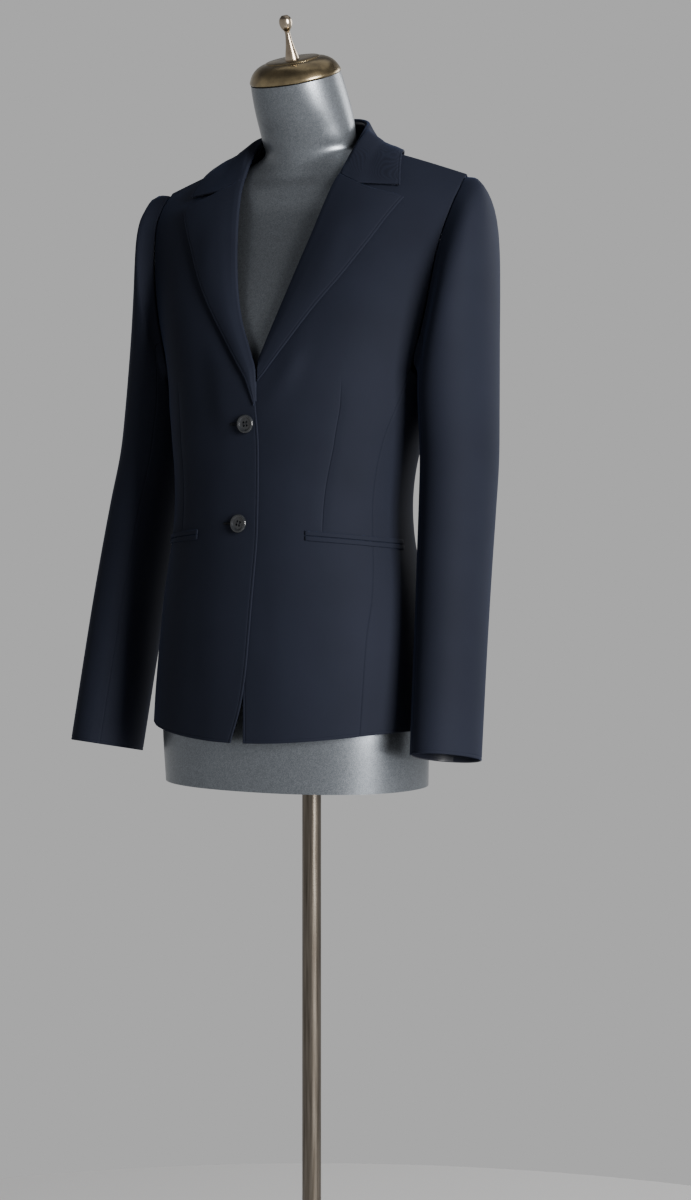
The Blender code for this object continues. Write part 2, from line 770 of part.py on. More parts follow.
def lapel_grid(side, front):
    """The folded lapel on a wearer's left, columns from the fold to the free edge.

    Also returns the directions of the fold's own columns and the wall, row by row.
    """
    tree = tree_of([front])
    roll = [line[0] for line in front]
    edge_name = "left_x" if side > 0 else "right_x"
    grid = []
    arms = []
    walls = []
    start = LAPEL_START_Z[side]
    for height in fold_heights(roll, side):
        v = (height - start) / (GORGE_TOP_Z - start)
        fold = roll_at(roll, height)
        ahead = roll_at(roll, min(height + 0.004, GORGE_TOP_Z))
        behind = roll_at(roll, max(height - 0.004, start))
        up = (ahead - behind).normalized()
        tip_z = mix(LAPEL_LOW_Z[side], LAPEL_EDGE[-1].z, v)
        tip_x = column(LAPEL_EDGE, edge_name, tip_z)
        inside = fold + Vector((0.004, 0.0, 0.0))
        normal = on_chest(tree, inside.x, inside.z)[1]
        opening = normal.cross(up).normalized()
        centre = fold + opening * SEAM_GAP
        turns = [math.radians(degrees) for degrees in FOLD_ANGLES]
        arms.append([opening * math.cos(turn) + normal * math.sin(turn) for turn in turns])
        radius = lapel_size(side, v, END_RADIUS, FOLD_RADIUS)
        walls.append(lapel_size(side, v, END_CLOTH, LAPEL_CLOTH))
        line = [centre + arm * radius for arm in arms[-1]]
        span_x = tip_x - fold.x
        for j in range(1, LAPEL_COLS + 1):
            u = j / LAPEL_COLS
            x = fold.x + span_x * u
            z = mix(fold.z, tip_z, u)
            if height == GORGE_TOP_Z:
                z += gorge_bend(u)
            place, up_from = on_chest(tree, x, z)
            lift = radius + LAPEL_BELLY * math.sin(math.pi * u) * smoothstep(3.0 * v)
            lift += mix(BREAK_LIFT[side], EDGE_LIFT, smoothstep(4.0 * v)) * smoothstep(3.0 * u)
            line.append(place + up_from * lift)
        grid.append(line)
    return grid, arms, walls


def lapel_size(side, v, end_size, full_size):
    """The right lapel runs out at the break, so that it grows from a smaller size there."""
    if side > 0:
        return full_size
    return mix(end_size, full_size, smoothstep(v / END_SHARE))


def gorge_bend(u):
    """How far the lapel's top edge dips under the straight line from fold to point."""
    return -0.0035 * math.sin(math.pi * min(u * 1.1, 1.0))


def build_lapels(panels):
    """Both lapels; returns their grids on a wearer's left, for the collar to clear."""
    made = {}
    for side, word in ((1, "left"), (-1, "right")):
        front = oriented(panels[f"front_{word}"][0], side)
        grid, arms, walls = lapel_grid(side, front)
        normals = grid_normals(grid)
        for line, turned_arms in zip(normals, arms):
            line[:len(turned_arms)] = turned_arms
        cloth = oriented(trimmed(grid, 0.0, 0.0, 0.0, HALF_GAP), side)
        wall(f"lapel_{word}", cloth, oriented(normals, side), walls, navy_wool())
        made[word] = (grid, arms)
    return made


# ---------------------------------------------------------------- collar
# The collar's fold and its free edge, from the centre back to the front end, wearer's left.
COLLAR_FOLD = [
    Vector((0.0000, 0.0590, 1.3965)),
    Vector((0.0270, 0.0530, 1.3945)),
    Vector((0.0480, 0.0350, 1.3880)),
    Vector((0.0612, 0.0080, 1.3770)),
    Vector((0.0640, -0.0160, 1.3570)),
]
COLLAR_EDGE = [
    Vector((0.0000, 0.0960, 1.3520)),
    Vector((0.0440, 0.0880, 1.3520)),
    Vector((0.0840, 0.0560, 1.3480)),
    Vector((0.1040, 0.0130, 1.3480)),
    Vector((0.1185, -0.0150, 1.3345)),
    Vector((0.1290, -0.0370, 1.3140)),
]
COLLAR_COLS = 11          # grid columns from the centre back to one front end
COLLAR_BELLY = 0.0015     # how far the fall swells between fold and edge
NOTCH_COLS = 2            # the lapel's grid columns that the gorge seam takes
EASING_ROUNDS = 1
SHOULDER_CLEARANCE = 0.0023   # more room under the fall, where it bridges the shoulder seam
HUG_SHARES = (0.50, 0.72)     # up to the first the edge lies on the back, from the second not
FRONT_END_SHARE = 0.72    # from here on the collar eases into the gorge seam
STAND_ROWS = 3
STAND_END_SHARE = 0.80    # where the stand runs out towards the front


def fold_frame(share, arms):
    """At the collar's fold: the place and the direction of every arm of the rounded fold."""
    step = 0.01
    fold_points = COLLAR_FOLD + [arms.fold]
    place = along(fold_points, share)
    ahead = along(fold_points, min(share + step, 1.0)) - along(fold_points, max(share - step, 0.0))
    to_edge = along(COLLAR_EDGE, share) - place
    forward = ahead.normalized()
    outward = to_edge.cross(forward).normalized()
    if outward.z < 0.0:
        outward = -outward
    opening = -(to_edge - forward * to_edge.dot(forward)).normalized()
    near_end = smoothstep((share - FRONT_END_SHARE) / (1.0 - FRONT_END_SHARE))
    turned_arms = []
    for degrees, last in zip(FOLD_ANGLES, arms.arms):
        turn = math.radians(degrees)
        arm = opening * math.cos(turn) + outward * math.sin(turn)
        turned_arms.append(mix(arm, last, near_end).normalized())
    return place, turned_arms, outward


def collar_edge(share, tree, height):
    """The collar's free edge, which lies close to the back."""
    point = along(COLLAR_EDGE, share)
    place, normal, _, _ = tree.find_nearest(point)
    free = smoothstep((share - HUG_SHARES[0]) / (HUG_SHARES[1] - HUG_SHARES[0]))
    return mix(place + normal * height, point, free)


def missing_height(point, tree, need, way):
    """How far the point has to go along way until it is clear of the surface below it."""
    place, normal, _, _ = tree.find_nearest(point)
    height = (point - place).dot(normal)
    if height < need and (point - place).length < 0.03:
        return (need - height) / max(way.dot(normal), 0.5)
    return 0.0


def eased_line(values):
    """Values no smaller than before and without steps: the largest nearby, then averaged."""
    last = len(values) - 1
    top = [max(values[max(k - 1, 0):k + 2]) for k in range(last + 1)]
    return [(top[max(k - 1, 0)] + top[k] + top[min(k + 1, last)]) / 3.0 for k in range(last + 1)]


def cleared(columns, needs, ways, tree):
    """The columns moved out until they are clear of the surface below, without steps."""
    lifts = [[missing_height(point, tree, need, way) for point, need in zip(line, line_needs)]
             for line, line_needs, way in zip(columns, needs, ways)]
    for _ in range(EASING_ROUNDS):
        lifts = [eased_line(line) for line in lifts]
        lifts = list(zip(*[eased_line(line) for line in zip(*lifts)]))
    return [[point + way * lift if need > 0.0 else point
             for point, need, lift in zip(line, line_needs, line_lifts)]
            for line, line_needs, line_lifts, way in zip(columns, needs, lifts, ways)]


GorgeEnd = namedtuple("GorgeEnd", "fold row arms")


def collar_half(end, tree):
    """Columns of the collar's fall from the centre back to the front end, wearer's left."""
    tip = COLLAR_EDGE[-1]
    notch = end.row[len(FOLD_ANGLES) + NOTCH_COLS - 1]
    need = LAPEL_CLOTH + LAYER_GAP
    columns = []
    directions = []
    needs = []
    ways = []
    for k in range(COLLAR_COLS + 1):
        share = k / COLLAR_COLS
        place, turned_arms, outward = fold_frame(share, end)
        edge = collar_edge(share, tree, need + SHOULDER_CLEARANCE)
        line = [place + arm * FOLD_RADIUS for arm in turned_arms]
        line_needs = [0.0] * len(line)
        near_end = smoothstep((share - FRONT_END_SHARE) / (1.0 - FRONT_END_SHARE))
        for j in range(1, LAPEL_COLS + 1):
            u = j / LAPEL_COLS
            point = mix(line[len(FOLD_ANGLES) - 1], edge, u)
            point += outward * (COLLAR_BELLY * math.sin(math.pi * u))
            if j <= NOTCH_COLS:
                last = end.row[len(FOLD_ANGLES) - 1 + j]
            else:
                last = mix(notch, tip, (j - NOTCH_COLS) / (LAPEL_COLS - NOTCH_COLS))
            line.append(mix(point, last, near_end))
            on_gorge = share == 1.0 and j <= NOTCH_COLS
            spare = SHOULDER_CLEARANCE * (1.0 - near_end)
            line_needs.append(0.0 if on_gorge else need + spare)
        columns.append(line)
        directions.append(turned_arms)
        needs.append(line_needs)
        ways.append(outward)
    return cleared(columns, needs, ways, tree), directions


def both_halves(columns):
    """Rows of a whole grid, from the wearer's right front end round to the left one."""
    mirror = [[mirrored(point, -1) for point in line] for line in reversed(columns[1:])]
    whole = mirror + columns
    return [list(row) for row in zip(*whole)]


def build_collar(panels, lapels):
    """The collar's fall and its stand."""
    body = [panels["front_left"][0], panels["back_left"][0]]
    tree = tree_of(body)
    grid, arms = lapels["left"]
    roll_end = roll_at([line[0] for line in body[0]], GORGE_TOP_Z)
    end = GorgeEnd(roll_end, grid[-1], arms[-1])
    columns, directions = collar_half(end, tree)
    fall = both_halves(columns)
    normals = grid_normals(fall)
    arm_rows = both_halves(directions)
    for i, row in enumerate(arm_rows):
        normals[i] = row
    wall("collar", trimmed(fall, HALF_GAP, HALF_GAP), normals, LAPEL_CLOTH, navy_wool())
    build_stand(columns, directions, body)


def neck_edge(share, body):
    """The jacket's neck edge from the nape, share 0, to the roll line at the gorge, share 1."""
    back = body[1][-1][SHOULDER_COLS:]
    front = [line[0] for line in body[0] if line[0].z > GORGE_TOP_Z]
    points = list(reversed(back)) + list(reversed(front))[1:]
    return along(points, share)


def build_stand(columns, directions, body):
    """The stand, which rises from the neck edge to just under the collar's fold."""
    count = int(COLLAR_COLS * STAND_END_SHARE)
    half = []
    for k in range(count + 1):
        base = neck_edge(k / COLLAR_COLS, body)
        inward = Vector((-base.x, -base.y, 0.0)).normalized()
        low = base + inward * CLOTH + Vector((0.0, 0.0, 2.0 * SEAM_GAP))
        tangent = columns[k][0] - columns[k][1]
        high = columns[k][0] + tangent.normalized() * 2.0 * SEAM_GAP
        high -= directions[k][0] * (LAPEL_CLOTH - CLOTH) * 0.5
        half.append([mix(low, high, i / STAND_ROWS) for i in range(STAND_ROWS + 1)])
    stand = both_halves(half)
    normals = grid_normals(stand)
    facing = normals[0][len(normals[0]) // 2].y
    if facing > 0.0:
        normals = [[-arrow for arrow in row] for row in normals]
    wall("collar_stand", stand, normals, CLOTH, navy_wool())


# ---------------------------------------------------------------- pockets
POCKET_ANGLES = {1: (31.0, 88.5), -1: (23.5, 81.0)}   # each pocket's way round the body
POCKET_FRONT_Z = 0.9635           # its upper line at the front end
POCKET_DROP = 0.0100              # and how far that drops to the back end
WELT_HEIGHT = 0.0047
WELT_THICK = 0.0011
WELT_LIFT = 0.0006                # over the panel's true surface
WELT_COLS = 10
WELT_ROWS = 2


def welt_grid(side, top_offset):
    """One welt of a pocket, as on the wearer's left, its upper edge top_offset under the line."""
    front_end, back_end = POCKET_ANGLES[side]
    grid = []
    for i in range(WELT_ROWS + 1):
        line = []
        for j in range(WELT_COLS + 1):
            share = j / WELT_COLS
            angle = mix(front_end, back_end, share)
            top = POCKET_FRONT_Z - POCKET_DROP * share - top_offset
            line.append(body_point(top - WELT_HEIGHT * (1.0 - i / WELT_ROWS), angle))
        grid.append(line)
    return grid


def build_pockets():
    for side, word in ((1, "left"), (-1, "right")):
        for level, offset in (("upper", 0.0), ("lower", WELT_HEIGHT + 2.0 * SEAM_GAP)):
            grid = oriented(welt_grid(side, offset), side)
            wall(f"pocket_welt_{level}_{word}", grid, grid_normals(grid), WELT_THICK,
                 navy_wool(), WELT_LIFT + WELT_THICK)


# ---------------------------------------------------------------- buttons
BUTTON_PROFILE = [
    (0.0, 0.0), (0.82, 0.0), (1.0, 0.34), (1.0, 0.72),
    (0.90, 1.0), (0.72, 1.0), (0.60, 0.68), (0.0, 0.68),
]
BUTTON_SIDES = 24
HOLE_RADIUS = 0.0009
HOLE_OFFSET = 0.0017
HOLE_SIDES = 8
BUTTON_TURNS = {"button_upper": 52.0, "button_lower": 30.0}   # first hole, in degrees


def build_buttons(panels):
    """Two four-hole buttons on the right front, near the centre line."""
    front = panels["front_right"][0]
    tree = tree_of([front])
    for name, x, z in zip(BUTTON_NAMES, BUTTON_X, BUTTON_HEIGHTS):
        place, normal = on_chest(tree, x, z)
        profile = [(r * BUTTON_RADIUS, h * BUTTON_THICK) for r, h in BUTTON_PROFILE]
        button = turned(name, profile, horn_button(), BUTTON_SIDES)
        button.location = place + normal * (SEAM_GAP + CLOTH * 0.25)
        button.rotation_euler = normal.to_track_quat("Z", "X").to_euler()
        cut_holes(button)


def cut_holes(button):
    for k in range(4):
        turn = math.radians(BUTTON_TURNS[button.name] + 90.0 * k)
        depth = BUTTON_THICK
        pin = turned(f"{button.name}_hole_{k}", [
            (0.0, -depth), (HOLE_RADIUS, -depth), (HOLE_RADIUS, 2.0 * depth), (0.0, 2.0 * depth),
        ], horn_button(), HOLE_SIDES)
        pin.parent = button
        pin.location = (HOLE_OFFSET * math.cos(turn), HOLE_OFFSET * math.sin(turn), 0.0)
        pin.hide_render = True
        pin.display_type = "WIRE"
        cut = button.modifiers.new(f"hole_{k}", "BOOLEAN")
        cut.operation = "DIFFERENCE"
        cut.object = pin


# ---------------------------------------------------------------- the dress form
FormRow = namedtuple("FormRow", "z half_width front_y back_y tilt squareness")
FORM_ROWS = [
    FormRow(0.7000, 0.1430, -0.137, 0.076, 0.0, 2.2),
    FormRow(0.7600, 0.1460, -0.138, 0.071, 0.0, 2.2),
    FormRow(0.8200, 0.1430, -0.136, 0.063, 0.0, 2.2),
    FormRow(0.8800, 0.1360, -0.133, 0.051, 0.0, 2.2),
    FormRow(0.9400, 0.1260, -0.127, 0.044, 0.0, 2.2),
    FormRow(1.0000, 0.1220, -0.121, 0.044, 0.0, 2.2),
    FormRow(1.0600, 0.1290, -0.116, 0.053, 0.0, 2.2),
    FormRow(1.1120, 0.1400, -0.112, 0.074, 0.0, 2.2),
    FormRow(1.1600, 0.1450, -0.101, 0.086, 0.0, 2.2),
    FormRow(1.2100, 0.1500, -0.084, 0.088, 0.0, 2.2),
    FormRow(1.2550, 0.1560, -0.065, 0.080, 0.0, 2.2),
    FormRow(1.2900, 0.1600, -0.051, 0.066, 0.0, 2.1),
    FormRow(1.3080, 0.1620, -0.047, 0.058, 0.0, 1.9),
    FormRow(1.3180, 0.1650, -0.045, 0.054, 0.0, 1.7),
    FormRow(1.3280, 0.1510, -0.044, 0.044, 0.0, 1.55),
    FormRow(1.3380, 0.1150, -0.044, 0.036, 0.0, 1.4),
    FormRow(1.3470, 0.0800, -0.0440, 0.036, 0.0, 1.6),
    FormRow(1.3560, 0.0550, -0.0448, 0.038, 0.01, 1.8),
    FormRow(1.3650, 0.0525, -0.0465, 0.038, 0.04, 1.9),
    FormRow(1.3760, 0.0522, -0.0505, 0.038, 0.10, 1.9),
    FormRow(1.3900, 0.0515, -0.057, 0.036, 0.20, 2.0),
    FormRow(1.4080, 0.0500, -0.068, 0.027, 0.30, 2.0),
    FormRow(1.4320, 0.0475, -0.076, 0.013, 0.35, 2.0),
]
FORM_SIDES = 32
FORM_CLEARANCE = 0.0052   # level distance from the form out to the cloth's outer surface
SEAT_DEPTH = 0.0032       # nearest that the form comes to the cloth's outer surface
THROUGH_REACH = 0.030     # a point farther out than this is in the neck's opening
NECK_LEAN = math.atan(FORM_ROWS[-1].tilt)
CAP_RADII = (0.0485, 0.0455)
CAP_PROFILE = [           # share of the cap's radii, height over its rim
    (1.000, 0.0000), (1.010, 0.0012), (1.010, 0.0030), (0.980, 0.0042),
    (0.940, 0.0090), (0.850, 0.0140), (0.700, 0.0178), (0.520, 0.0195),
]
FINIAL_PROFILE = [        # radius, height over the cap's top
    (0.0074, 0.0000), (0.0062, 0.0060), (0.0046, 0.0130), (0.0034, 0.0200),
    (0.0027, 0.0265), (0.0031, 0.0295), (0.0052, 0.0325), (0.0066, 0.0362),
    (0.0068, 0.0392), (0.0058, 0.0430), (0.0032, 0.0458),
]
POLE_RADIUS = 0.0100
BASE_RADIUS = 0.150
BASE_PROFILE = [
    (0.93, 0.000), (1.00, 0.003), (1.00, 0.008), (0.96, 0.012), (0.60, 0.016), (0.17, 0.019),
]
FLANGE_PROFILE = [(0.020, 0.000), (0.046, 0.006), (0.046, 0.012)]


def form_ring(row, tree):
    """One ring of the form, drawn in wherever it would come too near the jacket."""
    middle = 0.5 * (row.front_y + row.back_y)
    power = 2.0 / row.squareness
    heart = Vector((0.0, middle, row.z))
    reaches = []
    shares = []
    for k in range(FORM_SIDES):
        turn = 2.0 * math.pi * k / FORM_SIDES
        x = row.half_width * math.copysign(abs(math.cos(turn)) ** power, math.cos(turn))
        y = math.copysign(abs(math.sin(turn)) ** power, math.sin(turn))
        y *= (row.back_y - row.front_y) * 0.5
        reaches.append(Vector((x, y, row.tilt * y)))
        shares.append(min(clear_share(tree, heart, mirrored(reaches[-1], side))
                          for side in (1, -1)))
    for _ in range(2):
        shares = evened(shares)
    return [heart + reach * share for reach, share in zip(reaches, shares)]


def evened(shares):
    """Shares round a ring, no larger than before and without steps."""
    low = [min(shares[k - 1], share, shares[(k + 1) % FORM_SIDES])
           for k, share in enumerate(shares)]
    return [(low[k - 1] + share + low[(k + 1) % FORM_SIDES]) / 3.0 for k, share in enumerate(low)]


def clear_share(tree, heart, reach):
    """How much of the reach from the form's heart stays clear inside the jacket."""
    share = 1.0
    hit = tree.ray_cast(heart, reach.normalized())[0]
    if hit is not None:
        share = min(share, ((hit - heart).length - FORM_CLEARANCE) / reach.length)
    while too_near(tree, heart + reach * share):
        share *= 0.98
    return share


def too_near(tree, point):
    """Whether a point of the form comes too near the jacket, or out through it."""
    place, normal, _, distance = tree.find_nearest(point)
    below_neck = point.z < NECK_POINT.z and distance < THROUGH_REACH
    return distance < SEAT_DEPTH or (below_neck and (point - place).dot(normal) > 0.0)


def lofted(name, rings, finish, smooth_angle=35.0):
    """A closed solid over rings of equal count, capped at both ends."""
    count = len(rings[0])
    verts = [point for ring in rings for point in ring]
    faces = [tuple(reversed(range(count)))]
    for i in range(len(rings) - 1):
        for k in range(count):
            a = i * count + k
            b = i * count + (k + 1) % count
            faces.append((a, b, b + count, a + count))
    last = (len(rings) - 1) * count
    faces.append(tuple(range(last, last + count)))
    return add_object(name, verts, faces, finish, smooth_angle)


def oval_rings(profile, radii, low_z):
    rings = []
    for share, height in profile:
        ring = []
        for k in range(FORM_SIDES):
            turn = 2.0 * math.pi * k / FORM_SIDES
            ring.append(Vector((radii[0] * share * math.cos(turn),
                                radii[1] * share * math.sin(turn), low_z + height)))
        rings.append(ring)
    return rings


def build_form(panels):
    tree = tree_of([grid for grid, _ in panels.values()])
    lofted("form_torso", [form_ring(row, tree) for row in FORM_ROWS], grey_jersey())
    top = FORM_ROWS[-1]
    foot = Vector((0.0, 0.5 * (top.front_y + top.back_y), top.z))
    axis = Vector((0.0, -math.sin(NECK_LEAN), math.cos(NECK_LEAN)))
    cap = lofted("neck_cap", oval_rings(CAP_PROFILE, CAP_RADII, 0.0), aged_brass(), 50.0)
    cap.location = foot + axis * SEAM_GAP
    cap.rotation_euler = (NECK_LEAN, 0.0, 0.0)
    cap_top = CAP_PROFILE[-1][1] + 2.0 * SEAM_GAP
    finial = lofted("finial", oval_rings(FINIAL_PROFILE, (1.0, 1.0), 0.0), aged_brass(), 50.0)
    finial.location = foot + axis * cap_top
    finial.rotation_euler = (NECK_LEAN, 0.0, 0.0)


def build_stand_foot():
    """The pole with its flange under the torso, and the round base."""
    base = [(share * BASE_RADIUS, z) for share, z in BASE_PROFILE]
    base_top = base[-1][1]
    lofted("base", oval_rings(base, (1.0, 1.0), 0.0), dark_bronze())
    flange_low = FORM_LOW_Z - FLANGE_PROFILE[-1][1] - SEAM_GAP
    lofted("pole_flange", oval_rings(FLANGE_PROFILE, (1.0, 1.0), flange_low), dark_bronze())
    pole = [(POLE_RADIUS, base_top + SEAM_GAP), (POLE_RADIUS, flange_low - SEAM_GAP)]
    lofted("pole", oval_rings(pole, (1.0, 1.0), 0.0), dark_bronze())


# ---------------------------------------------------------------- the whole object
def main():
    for old in list(bpy.data.objects):
        bpy.data.objects.remove(old, do_unlink=True)
    panels = body_panels()
    build_body(panels)
    build_sleeves(sleeve_panels())
    lapels = build_lapels(panels)
    build_collar(panels, lapels)
    build_pockets()
    build_buttons(panels)
    build_form(panels)
    build_stand_foot()


main()
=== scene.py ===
"""Looks for the two-button suit jacket on its dress form: camera, light, cloth, form and stand.

The surfaces repeat the CAD's own formulas, because this script can't read that file. Each cut
piece is read again on a fine grid, with seams, darts, turned edges and stitch lines.
"""
import math
from collections import namedtuple

import bmesh
import bpy
import numpy as np
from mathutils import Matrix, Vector
from mathutils.bvhtree import BVHTree


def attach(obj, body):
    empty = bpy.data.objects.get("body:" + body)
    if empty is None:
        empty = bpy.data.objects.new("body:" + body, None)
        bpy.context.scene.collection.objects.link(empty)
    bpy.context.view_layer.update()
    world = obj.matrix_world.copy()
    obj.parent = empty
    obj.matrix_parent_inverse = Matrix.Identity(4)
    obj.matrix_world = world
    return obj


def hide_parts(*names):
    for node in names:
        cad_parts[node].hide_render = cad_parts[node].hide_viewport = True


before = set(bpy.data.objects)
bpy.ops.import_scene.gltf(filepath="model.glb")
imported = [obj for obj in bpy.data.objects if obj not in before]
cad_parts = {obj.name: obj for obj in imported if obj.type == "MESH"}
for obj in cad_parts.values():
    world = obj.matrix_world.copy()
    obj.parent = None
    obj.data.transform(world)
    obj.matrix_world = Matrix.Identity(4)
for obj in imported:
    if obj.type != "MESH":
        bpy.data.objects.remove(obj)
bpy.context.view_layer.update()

# ---------------------------------------------------------------- driving dimensions, in metres
CLOTH = 0.0016            # wall of a jacket panel
LAPEL_CLOTH = 0.0018      # wall of a lapel and the collar
SEAM_GAP = 0.0003         # between two panels at their seam
LAYER_GAP = 0.0007        # between one layer of cloth and the layer that lies on it

SEAM_TOP_Z = 1.125        # where the side seams reach the armhole
ARMPIT_DIP = 0.013        # how far the armhole dips below the side seams' tops
BREAK_Z = 1.108           # where the lapels begin to roll
NECK_POINT = Vector((0.070, 0.002, 1.361))
SHOULDER_TIP = Vector((0.1825, 0.006, 1.3255))
NAPE = Vector((0.0, 0.066, 1.375))

BUTTON_RADIUS = 0.0095
BUTTON_THICK = 0.0038
BUTTON_HEIGHTS = (1.0705, 0.9700)
BUTTON_X = (0.0040, 0.0015)
BUTTON_NAMES = ("button_upper", "button_lower")
SIDES = ((1, "left"), (-1, "right"))

FORM_LOW_Z = 0.700        # underside of the form's torso

ROWS_LOW = 11             # grid rows from the hem to the side seams' tops
ROWS_HIGH = 9             # grid rows from there to the shoulder
COLS_FRONT = 10
COLS_SIDE = 5
COLS_BACK = 9

# Level sections of the jacket's body: the half width, and where front, middle and back lie.
Section = namedtuple("Section", "z half_width front_y middle_y back_y")
BODY = [
    Section(0.700, 0.1640, -0.153, -0.027, 0.088),
    Section(0.750, 0.1590, -0.152, -0.028, 0.083),
    Section(0.800, 0.1550, -0.151, -0.029, 0.077),
    Section(0.850, 0.1495, -0.148, -0.031, 0.068),
    Section(0.900, 0.1425, -0.145, -0.033, 0.058),
    Section(0.955, 0.1325, -0.139, -0.036, 0.053),
    Section(1.000, 0.1305, -0.135, -0.036, 0.054),
    Section(1.050, 0.1380, -0.130, -0.031, 0.059),
    Section(1.112, 0.1535, -0.127, -0.014, 0.086),
    Section(1.180, 0.1600, -0.110, 0.000, 0.102),
]

# Where the seams run round the body, in degrees from the front middle to the back middle.
SeamRow = namedtuple("SeamRow", "z front_seam back_seam")
SEAMS = [
    SeamRow(0.740, 49.5, 117.0),
    SeamRow(0.850, 56.0, 116.5),
    SeamRow(0.900, 62.0, 116.0),
    SeamRow(0.950, 66.3, 115.0),
    SeamRow(1.000, 67.5, 115.0),
    SeamRow(1.054, 67.8, 116.0),
    SeamRow(1.130, 72.0, 120.0),
]

# The free edges of the two fronts below the lapels: x at each height.
EdgeRow = namedtuple("EdgeRow", "z right_x left_x")
FRONT_EDGES = [
    EdgeRow(0.735, -0.0020, 0.0125),
    EdgeRow(0.750, -0.0010, 0.0122),
    EdgeRow(0.772, 0.0060, 0.0121),
    EdgeRow(0.796, 0.0130, 0.0118),
    EdgeRow(0.833, 0.0166, 0.0080),
    EdgeRow(0.900, 0.0206, -0.0060),
    EdgeRow(0.955, 0.0222, -0.0150),
    EdgeRow(0.994, 0.0212, -0.0180),
    EdgeRow(1.050, 0.0181, -0.0180),
    EdgeRow(1.080, 0.0150, -0.0130),
    EdgeRow(1.100, 0.0124, -0.0040),
    EdgeRow(1.125, 0.0086, 0.0110),
]

# The roll line, from the break up to the neck, on the wearer's left.
ROLL_LINE = [
    Vector((0.0262, -0.1010, 1.186)),
    Vector((0.0475, -0.0745, 1.262)),
    Vector((0.0610, -0.0420, 1.327)),
    NECK_POINT,
]

# The armhole in front of and behind the shoulder tip, on the wearer's left, by sleeve angle.
ArmRow = namedtuple("ArmRow", "angle x y z")
ARM_FRONT = [
    ArmRow(0.0, SHOULDER_TIP.x, SHOULDER_TIP.y, SHOULDER_TIP.z),
    ArmRow(36.0, 0.1815, -0.0215, 1.2955),
    ArmRow(70.0, 0.1735, -0.0400, 1.248),
    ArmRow(105.0, 0.1640, -0.0470, 1.190),
]
ARM_BACK = [
    ArmRow(360.0, SHOULDER_TIP.x, SHOULDER_TIP.y, SHOULDER_TIP.z),
    ArmRow(324.0, 0.1790, 0.0340, 1.297),
    ArmRow(290.0, 0.1720, 0.0500, 1.250),
    ArmRow(255.0, 0.1600, 0.0530, 1.190),
]
ARM_LOW_FRONT_ANGLE = 145.0
ARM_LOW_BACK_ANGLE = 215.0


# ---------------------------------------------------------------- small helpers
def hermite(p0, p1, m0, m1, t):
    """A cubic from p0 to p1 with end slopes m0 and m1, for numbers and vectors alike."""
    t2 = t * t
    t3 = t2 * t
    return (p0 * (2 * t3 - 3 * t2 + 1) + m0 * (t3 - 2 * t2 + t)
            + p1 * (3 * t2 - 2 * t3) + m1 * (t3 - t2))


def spline(knots, values, at):
    """A smooth curve through values at rising knots, read at one place."""
    last = len(knots) - 1
    at = min(max(at, knots[0]), knots[-1])
    i = 0
    while i < last - 1 and at > knots[i + 1]:
        i += 1

    def slope(k):
        low = max(k - 1, 0)
        high = min(k + 1, last)
        return (values[high] - values[low]) * (1.0 / (knots[high] - knots[low]))

    width = knots[i + 1] - knots[i]
    t = (at - knots[i]) / width
    return hermite(values[i], values[i + 1], slope(i) * width, slope(i + 1) * width, t)


def column(rows, name, at, key="z"):
    """One named column of a table, smoothly read at a height or angle."""
    return spline([getattr(row, key) for row in rows], [getattr(row, name) for row in rows], at)


def smoothstep(t):
    t = min(max(t, 0.0), 1.0)
    return t * t * (3.0 - 2.0 * t)


def mix(a, b, t):
    return a + (b - a) * t


def mirrored(point, side):
    return Vector((point.x * side, point.y, point.z))


def grid_normals(grid):
    """Unit normals of a grid of points, by the differences between neighbours."""
    rows = len(grid)
    cols = len(grid[0])
    normals = []
    for i in range(rows):
        line = []
        for j in range(cols):
            along = grid[i][min(j + 1, cols - 1)] - grid[i][max(j - 1, 0)]
            up = grid[min(i + 1, rows - 1)][j] - grid[max(i - 1, 0)][j]
            line.append(along.cross(up).normalized())
        normals.append(line)
    return normals


# ---------------------------------------------------------------- the jacket's body surface
FRONT_SQUARENESS = 2.1    # exponents of the level sections; 2 is an ellipse
BACK_SQUARENESS = 2.3
BUST_FULLNESS = 0.007
BUST_CENTRE = Vector((0.084, 0.0, 1.128))
BUST_SPREAD = (0.036, 0.046)
LAYER_SHIFT = 0.0012     # each front moves this far at the closure, one out and one in
LAYER_X = (0.022, 0.030)  # full shift to this far from the centre line, then eased over this far
LAYER_Z = (0.020, 0.030)  # full shift to this far over the break, then eased over this far
FRONT_HEM_Z = 0.750
SIDE_HEM_RISE = 0.012
SHOULDER_RISE = 0.001
HEM_RISE_ANGLE = 75.0


def body_point(z, angle):
    """A point of the jacket's outer surface on the wearer's left, below the armhole."""
    half_width = column(BODY, "half_width", z)
    middle = column(BODY, "middle_y", z)
    sine = math.sin(math.radians(angle))
    cosine = math.cos(math.radians(angle))
    if cosine >= 0.0:
        power = 2.0 / FRONT_SQUARENESS
        y = middle - (middle - column(BODY, "front_y", z)) * cosine ** power
    else:
        power = 2.0 / mix(FRONT_SQUARENESS, BACK_SQUARENESS, smoothstep(-4.0 * cosine))
        y = middle + (column(BODY, "back_y", z) - middle) * (-cosine) ** power
    x = math.copysign(half_width * abs(sine) ** power, sine)
    return with_bust(Vector((x, y, z)))


def with_bust(point):
    """The point moved out for the fullness over the bust; none on the back."""
    if point.y > 0.0:
        return point
    dx = (point.x - BUST_CENTRE.x) / BUST_SPREAD[0]
    dz = (point.z - BUST_CENTRE.z) / BUST_SPREAD[1]
    amount = BUST_FULLNESS * math.exp(-dx * dx - dz * dz)
    return point + Vector((0.25 * amount, -amount, 0.0))


